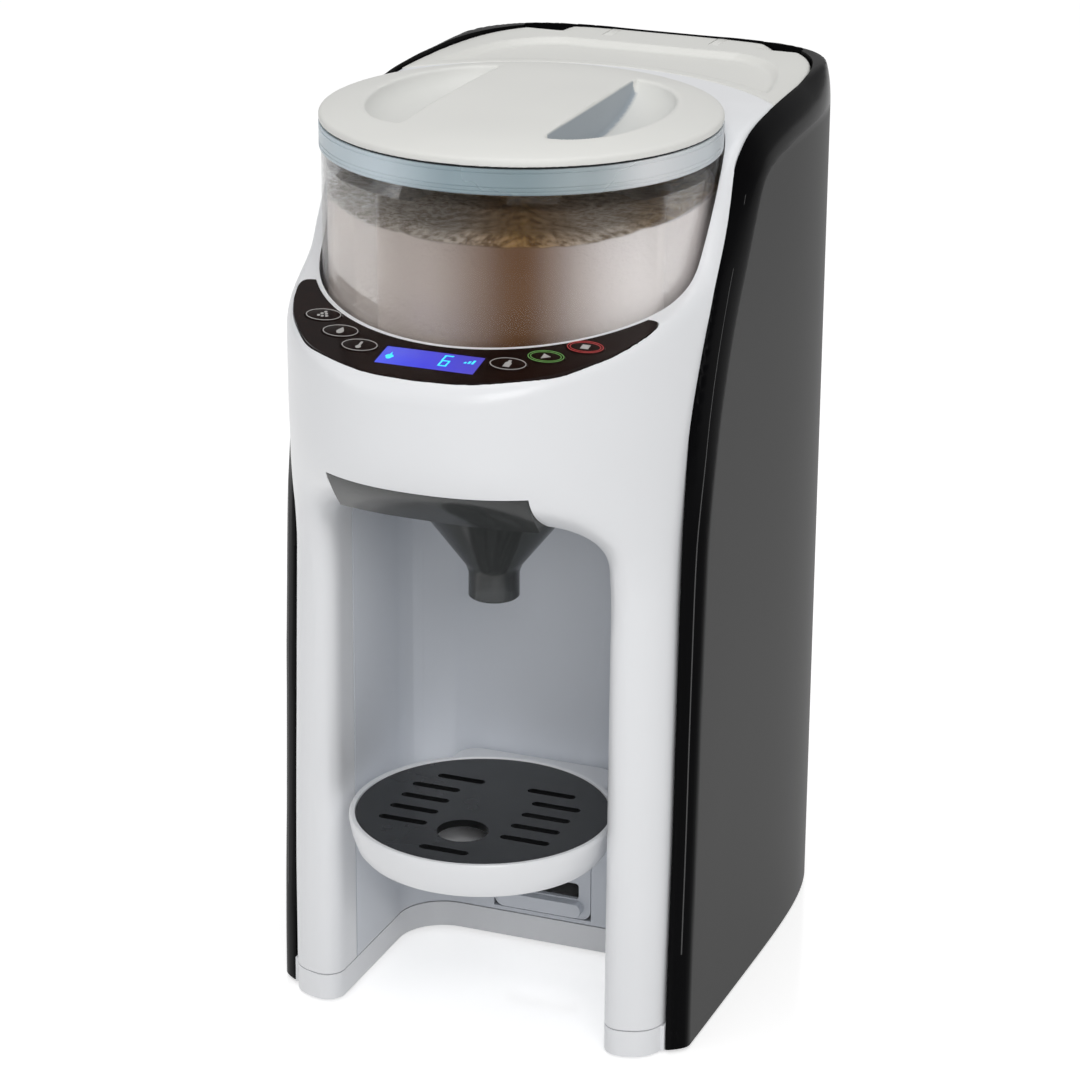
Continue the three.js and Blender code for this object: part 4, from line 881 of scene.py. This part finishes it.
def icon(kind, x, y):
    def disc(r, cx=0.0, cy=0.0):
        return poly([(cx + r * math.cos(a), cy + r * math.sin(a)) for a in np.arange(16) * np.pi / 8], x, y)
    if kind == "drop":
        return [poly([(0, 2.6), (1.2, 0.6), (1.5, -0.6), (1, -1.7), (0, -2.1), (-1, -1.7), (-1.5, -0.6),
                      (-1.2, 0.6)], x, y)]
    if kind == "heat":
        return [disc(1.1, 0, -1.4), poly([(-0.45, -0.6), (0.45, -0.6), (0.45, 2.4), (-0.45, 2.4)], x, y)]
    if kind == "scoop":
        return [disc(0.65, dx, dy) for dx, dy in ((-1.7, -0.9), (0, -1.2), (1.7, -0.9), (-0.9, 0.6),
                                                  (0.9, 0.6),
                                                  (0, 2))]
    if kind == "bottle":
        return [poly([(-1.3, -2.4), (1.3, -2.4), (1.3, 0.5), (0.6, 1.3), (0.6, 2.5), (-0.6, 2.5), (-0.6, 1.3),
                      (-1.3, 0.5)], x, y)]
    if kind == "play":
        return [poly([(-1.4, -1.8), (2, 0), (-1.4, 1.8)], x, y)]
    return [poly([(-1.6, -1.5), (1.6, -1.5), (1.6, 1.5), (-1.6, 1.5)], x, y)]


def buttons():
    looks = {("left", "outer"): ("scoop", RING_GREY), ("left", "middle"): ("drop", RING_GREY),
             ("left", "inner"): ("heat", RING_GREY), ("right", "inner"): ("bottle", RING_GREY),
             ("right", "middle"): ("play", RING_GREEN), ("right", "outer"): ("stop", RING_RED)}
    for (side, place), (kind, tone) in looks.items():
        name = f"button_{side}_{place}"
        x, y = next((bx, by) for p, bx, by in BUTTONS if p == place)
        x = -x if side == "left" else x
        cap = on_panel(name + "_cap", circle(7.6, (x, y), 48, 4.8 / 7.6), -1.2, 0.6)
        bevel(cap, 0.35, 3, 50)
        finish(cap, name, PANEL, 50)
        rims = [ring("rim", x, y, 7.2, 4.4, 0.34, 0.5, 0.7)]
        if tone is not RING_GREY:
            rims.append(ring("rim", x, y, 6.2, 3.5, 0.3, 0.5, 0.68))
        finish(join(name + "_ring", rims), name, tone, replace=False)
        finish(join(name + "_icon", icon(kind, x, y)), name, RING_GREY, replace=False)


# ---- container, powder and lid ----
PEGS = (-48, 132)


def turned_box(name, x, y, z, angle):
    obj = block(name, x, y, z)
    c, s = math.cos(math.radians(angle)), math.sin(math.radians(angle))
    for v in obj.data.vertices:
        px, py = v.co.x, v.co.y
        v.co.x, v.co.y = px * c - py * s, px * s + py * c + HEAD_Y * MM
    return obj


def container():
    profile = [(9.5, 283), (76.8, 283), (78, 283.6), (78.3, 285), (78.3, 359.6), (77.8, 360.5), (75.4, 360.8),
               (75.2, 361.2), (75.2, 369.6), (74.6, 370), (73.6, 370), (73.2, 369.6), (73.2, 359.2),
               (76.3, 354.7),
               (76.3, 288), (75, 286.2), (9.5, 286)]
    obj = lathe("container", profile, HEAD, 180)
    cut(obj, prism("outlet", circle(10, OUTLET, 48), 270, 290))
    add(obj, *[turned_box("peg", (74.2, 77.7), (-1.4, 1.4), (366.3, 367.7), a) for a in PEGS])
    return finish(obj, "powder_container", CLEAR, 30)


def powder():
    rng = np.random.default_rng(7)
    radii = np.concatenate([np.linspace(0, 71, 48), [73, 74.6, 75.5, 75.9]])
    count = 220
    bumps = [(rng.uniform(-70, 70), rng.uniform(-70, 70), rng.uniform(0.8, 2.6), rng.uniform(5, 14))
             for _ in range(70)]
    lumps = [(rng.uniform(-74, 74), rng.uniform(-74, 74), rng.uniform(0.2, 0.6), rng.uniform(1.5, 2.8))
             for _ in range(700)]
    t = np.arange(count) / count * 2 * np.pi
    r, a = np.meshgrid(radii, t, indexing="ij")
    x, y = r * np.cos(a), r * np.sin(a)
    h = np.interp(r, [0, 12, 30, 52, 68, 75.9], [341.5, 340.2, 342.4, 340.2, 340.6, 338.6])
    for bx, by, up, wide in bumps:
        h += (up - 1.6) * np.exp(-((x - bx)**2 + (y - by)**2) / wide**2)
    for bx, by, up, wide in lumps:
        near = (np.abs(x - bx) < 3 * wide) & (np.abs(y - by) < 3 * wide)
        h[near] += up * np.exp(-((x[near] - bx)**2 + (y[near] - by)**2) / wide**2)
    h = np.minimum(h, 342.8)
    across = (x * ACROSS[0] + y * ACROSS[1]) / 75.9
    h += smoothstep(r, 20, 70) * (1 + 3.5 * np.maximum(-across, 0)**2 + 7 * np.maximum(across, 0)**2)
    verts = [(0, HEAD_Y, float(h[0].mean()))]
    for i in range(1, len(radii)):
        verts += list(zip(x[i], y[i] + HEAD_Y, h[i]))
    base = len(verts)
    for level_r, level in ((75.9, 292.4), (71, 292.4), (71, 300.4)):
        verts += [(level_r * math.cos(u), HEAD_Y + level_r * math.sin(u), level) for u in t]
    verts.append((0, HEAD_Y, 300.4))
    rows = [[1 + i * count + k for k in range(count)] for i in range(len(radii) - 1)]
    rows += [[base + i * count + k for k in range(count)] for i in range(3)]
    faces = [(0, rows[0][k], rows[0][(k + 1) % count]) for k in range(count)]
    for low, high in zip(rows, rows[1:]):
        faces += [(low[k], high[k], high[(k + 1) % count], low[(k + 1) % count]) for k in range(count)]
    faces += [(rows[-1][k], len(verts) - 1, rows[-1][(k + 1) % count]) for k in range(count)]
    obj = make("powder", verts, faces)
    heap = np.zeros(len(verts), np.float32)
    heap[0] = 1
    heap[1:base] = 1 - smoothstep(np.repeat(radii[1:], count), 74.8, 75.7)
    obj.data.attributes.new("heap", "FLOAT", "POINT").data.foreach_set("value", heap)
    return finish(obj, "formula_powder", POWDER, 80)


def skirt():
    obj = lathe("skirt", [(75.8, 361), (78.6, 361), (79.1, 361.5), (79.1, 370.8), (78.8, 371.1),
                          (77.8, 370.9), (75.8, 370.9)],
                HEAD, 180)
    cuts = []
    for angle in PEGS:
        cuts.append(turned_box("drop", (73, 78.2), (-1.8, 1.8), (358, 368.1), angle))
        cuts += [turned_box("run", (73, 78.2), (-1.8, 1.8), (365.9, 368.1),
                            angle + k * 9 / 8) for k in range(9)]
    for c in cuts:
        cut(obj, c)
    lines = [lathe("line", [(78.9, z), (79.1, z - 0.22), (79.3, z), (79.1, z + 0.22)], HEAD, 180)
             for z in (362.6, 364.1, 369.6)]
    cut(obj, *lines)
    return finish(obj, "lid_skirt", TINT_AND_PAINTED_BANDS, 35)


def lid():
    dome = catmull([(0, 379.5), (19.8, 379.4), (39.5, 379.1), (57.7, 378.3), (69.6, 376.8), (78.1, 374.9),
                    (90, 371)], 6)

    def scoop(x, y, z, grow):
        dx, dy, dz = np.abs(x) - 29, y - HEAD_Y, z - 378.9
        q = np.sqrt((dx / (30.5 + grow))**2 + (dy / (50 + grow))**2 + (dz / (15 + grow))**2)
        ball = (q - 1) * (12 + 0.3 * grow) / np.maximum(q, 0.3)
        return round_max(ball, -dx - grow, 1.2)

    def field(x, y, z):
        rho = np.hypot(x, y - HEAD_Y)
        top = z - np.interp(rho, dome[:, 0], dome[:, 1])
        disc = round_max(round_max(rho - 79.1, top, 1.0), 371.9 - z, 0.6)
        rim = np.maximum.reduce([rho - 70.8, 68.8 - rho, 362.5 - z, z - 373])
        bowl = np.maximum(scoop(x, y, z, 2.0), z - 373)
        return round_max(np.minimum.reduce([disc, rim, bowl]), -scoop(x, y, z, 0.0), 0.8)
    obj = implicit("lid_body", field, (-81, -112, 360), (81, 51, 381), 0.95)
    mesh = obj.data
    co = np.zeros(len(mesh.vertices) * 3)
    mesh.vertices.foreach_get("co", co)
    x, y, z = co.reshape(-1, 3).T / MM
    # Mask of the painted shade on the straight walls of the scoops.
    wall = smoothstep(31.2 - np.abs(x), 0, 1.4) * smoothstep(np.abs(x) - 26, 0, 1) * (z < 378) * (z > 363.8)
    wall = wall * (np.abs(y - HEAD_Y) < 46.5)
    mesh.attributes.new("wall", "FLOAT", "POINT").data.foreach_set("value", wall.astype(np.float32))
    return finish(obj, "lid", LID, 50)


def seal():
    obj = lathe("seal", [(71.2, 370.3), (74.9, 370.3), (75.2, 370.95), (77.7, 371), (77.8, 371.8),
                         (71.2, 371.8)],
                HEAD, 128)
    return finish(obj, "lid_seal", RUBBER)


# ---- tank ----
def tank_outline(inset, count=120):
    return super_plan(76 - inset, 153 - inset, 4, count)


def tank():
    obj = keep(prism("tank", tank_outline(0), 120, 356.5), block("cut", (-WIDE, WIDE), (79, 220), TALL))
    bevel(obj, 3, 3, 50)
    inner = keep(prism("inner", tank_outline(2.5), 122.5, 380),
                 block("cut", (-WIDE, WIDE), (81.5, 220), TALL))
    cut(obj, inner, prism("hole", circle(7.8, (0, 100), 40), 110, 130))
    lugs = join("hinge_lugs", [block("lug", (s * 24 - 2, s * 24 + 2), (129, 141.2),
                                     (345, 368.3)) for s in (-1, 1)])
    cut(lugs, prism("pin", circle(1.5, HINGE, 24), -40, 40, "x"))
    bevel(lugs, 0.4, 2, 50)
    finish(lugs, "water_tank", SATIN, replace=False)
    return finish(obj, "water_tank", CLEAR, 35)


def tank_lid():
    def field(x, y, z):
        rho = np.hypot(x, y - HEAD_Y)
        edge = round_max(plan(x, y, 81.7, 161.9, 4.4), 106.3 - rho, 1.0)
        inside = -np.maximum.reduce([plan(x, y, 74.5, 142, 4), 112 - rho, y - 119])
        corners = smoothstep(y, 128.5, 133) * smoothstep(np.abs(x), 42, 50)
        dish = 2.6 * smoothstep(inside, 0, 4) + 2.3 * corners
        plate = round_max(round_max(edge, z - 368.4 + dish, 1.0), 362.4 - z, 0.5)
        plug = np.maximum.reduce([plan(x, y, 71, 148, 4), 84 - y, y - 126, 356.8 - z, z - 364])
        return np.minimum(plate, plug)
    obj = implicit("tank_lid_body", field, (-84, 30, 355), (84, 144, 370), 1.2)
    for s in (-1, 1):
        cut(obj, block("lug", (s * 24 - 2.3, s * 24 + 2.3), (128.4, 160), TALL))
    cut(obj, prism("pin", circle(1.5, HINGE, 24), -32, 32, "x"))
    return finish(obj, "tank_lid", SATIN, 50)


# ---- small pieces ----
def feet():
    for name in ("foot_front_left", "foot_front_right", "foot_rear_left", "foot_rear_right"):
        low, high = (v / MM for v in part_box(name))
        centre = ((low[0] + high[0]) / 2, (low[1] + high[1]) / 2)
        obj = lathe(name + "_pad", [(0, 0), (6.3, 0), (7, 0.5), (7, 1.5), (0, 1.5)], centre, 48)
        finish(obj, name, RUBBER)


def inlet():
    obj = block("inlet_body", (-45.6, -18.4), (124, 144.2), (22.6, 43.7))
    bevel(obj, 0.8, 2)
    cut(obj, block("socket", (-42.6, -21.4), (131, 200), (25.1, 41.2)))
    pins = [block("blade", (x - 1, x + 1), (130, 142), (30, 37)) for x in (-36, -28)]
    finish(obj, "power_inlet", MATTE)
    finish(join("inlet_blades", pins), "power_inlet", STEEL, replace=False)


PLAIN = {"control_board": BOARD, "chassis": GREY, "idler_pin": STEEL, "drive_motor": STEEL, "tank_seat": GREY,
         "water_pump": MATTE, "heater_block": STEEL, "pump_hose": HOSE, "water_nozzle": NYLON,
         "power_board": BOARD, "drive_gear": NYLON, "idler_gear": NYLON, "motor_gear": NYLON,
         "dosing_wheel": NYLON, "stirrer": NYLON, "tank_valve": NYLON, "tank_lid_pin": STEEL,
         "base_screw_1": STEEL, "base_screw_2": STEEL, "base_screw_3": STEEL, "base_screw_4": STEEL}


def plain_nodes():
    for o in bpy.context.scene.objects:
        node = o.get("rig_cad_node") or o.name
        if node in PLAIN and o.type == "MESH":
            o.data.materials.clear()
            o.data.materials.append(PLAIN[node])


front_casing()
base_pan()
rear_shell()
shell_bead(-1)
shell_bead(1)
bay_liner()
lower_socket()
tray()
tray_grid()
funnel()
panel()
display()
buttons()
container()
powder()
skirt()
lid()
seal()
tank()
tank_lid()
feet()
inlet()
plain_nodes()

# ---- camera, solved from the photograph ----
AZIMUTH, PITCH, ROLL = math.radians(21.4181), math.radians(20.4395), math.radians(0.3896)
DISTANCE, FOCAL_PX, FRAME_PX = 1.560435, 3789.76, 1080.0
TARGET = Vector((0.0, -0.0075, 0.18767))
SENSOR = 36.0


def make_camera():
    data = bpy.data.cameras.new("photo_camera")
    camera = bpy.data.objects.new("photo_camera", data)
    bpy.context.scene.collection.objects.link(camera)
    back = Vector((math.sin(AZIMUTH) * math.cos(PITCH), -math.cos(AZIMUTH) * math.cos(PITCH),
                   math.sin(PITCH)))
    right = Vector((math.cos(AZIMUTH), math.sin(AZIMUTH), 0))
    up = back.cross(right)
    side = right * math.cos(ROLL) + up * math.sin(ROLL)
    top = up * math.cos(ROLL) - right * math.sin(ROLL)
    turn = Matrix((side, top, back)).transposed().to_4x4()
    camera.matrix_world = Matrix.Translation(TARGET + back * DISTANCE) @ turn
    data.sensor_width = SENSOR
    data.lens = SENSOR * FOCAL_PX / FRAME_PX
    data.clip_end = 50
    bpy.context.scene.camera = camera


make_camera()
bpy.context.scene.view_settings.view_transform = "Standard"


# ---- studio ----
def floor():
    obj = prism("floor", [(-6000, -6000), (6000, -6000), (6000, 6000), (-6000, 6000)], -4, 0)
    mat, tree, shader = base_material("floor_white")
    soft = noise(tree, 3, 2)
    link(tree, ramp(tree, soft.outputs["Fac"], [(0.3, (0.90, 0.90, 0.90)), (0.7, (0.92, 0.92, 0.92))]),
         shader.inputs["Base Color"])
    shader.inputs["Roughness"].default_value = 0.12
    shader.inputs["IOR"].default_value = 2.1
    path = tree.nodes.new("ShaderNodeLightPath")
    glow = tree.nodes.new("ShaderNodeEmission")
    total = tree.nodes.new("ShaderNodeAddShader")
    level = tree.nodes.new("ShaderNodeMath")
    level.operation = "MULTIPLY"
    level.inputs[1].default_value = 0.54
    seen = path.outputs["Is Camera Ray"]
    for ray in ("Is Glossy Ray", "Is Transmission Ray"):
        both = tree.nodes.new("ShaderNodeMath")
        both.operation = "MAXIMUM"
        link(tree, seen, both.inputs[0])
        link(tree, path.outputs[ray], both.inputs[1])
        seen = both.outputs["Value"]
    link(tree, seen, level.inputs[0])
    link(tree, level.outputs["Value"], glow.inputs["Strength"])
    link(tree, shader.outputs["BSDF"], total.inputs[0])
    link(tree, glow.outputs["Emission"], total.inputs[1])
    link(tree, total.outputs["Shader"], tree.nodes["Material Output"].inputs["Surface"])
    obj.data.materials.append(mat)


def area(name, place, aim, size, power, size_y=None):
    data = bpy.data.lights.new(name, "AREA")
    data.energy = power
    data.size = size
    if size_y:
        data.shape = "RECTANGLE"
        data.size_y = size_y
    lamp = bpy.data.objects.new(name, data)
    bpy.context.scene.collection.objects.link(lamp)
    lamp.location = place
    lamp.rotation_euler = (Vector(aim) - Vector(place)).to_track_quat("-Z", "Y").to_euler()


floor()
world = bpy.data.worlds.new("soft")
bpy.context.scene.world = world
world.use_nodes = True
world.node_tree.nodes["Background"].inputs[0].default_value = (1, 1, 1, 1)
world.node_tree.nodes["Background"].inputs[1].default_value = 0.46
area("key", (0.8, -1.5, 1.2), (0, 0, 0.2), 1.0, 13)
area("fill", (-1.2, -1.0, 0.9), (0, 0, 0.2), 0.9, 2)
area("top", (0, 0.1, 1.7), (0, 0, 0.3), 1.2, 6.5)
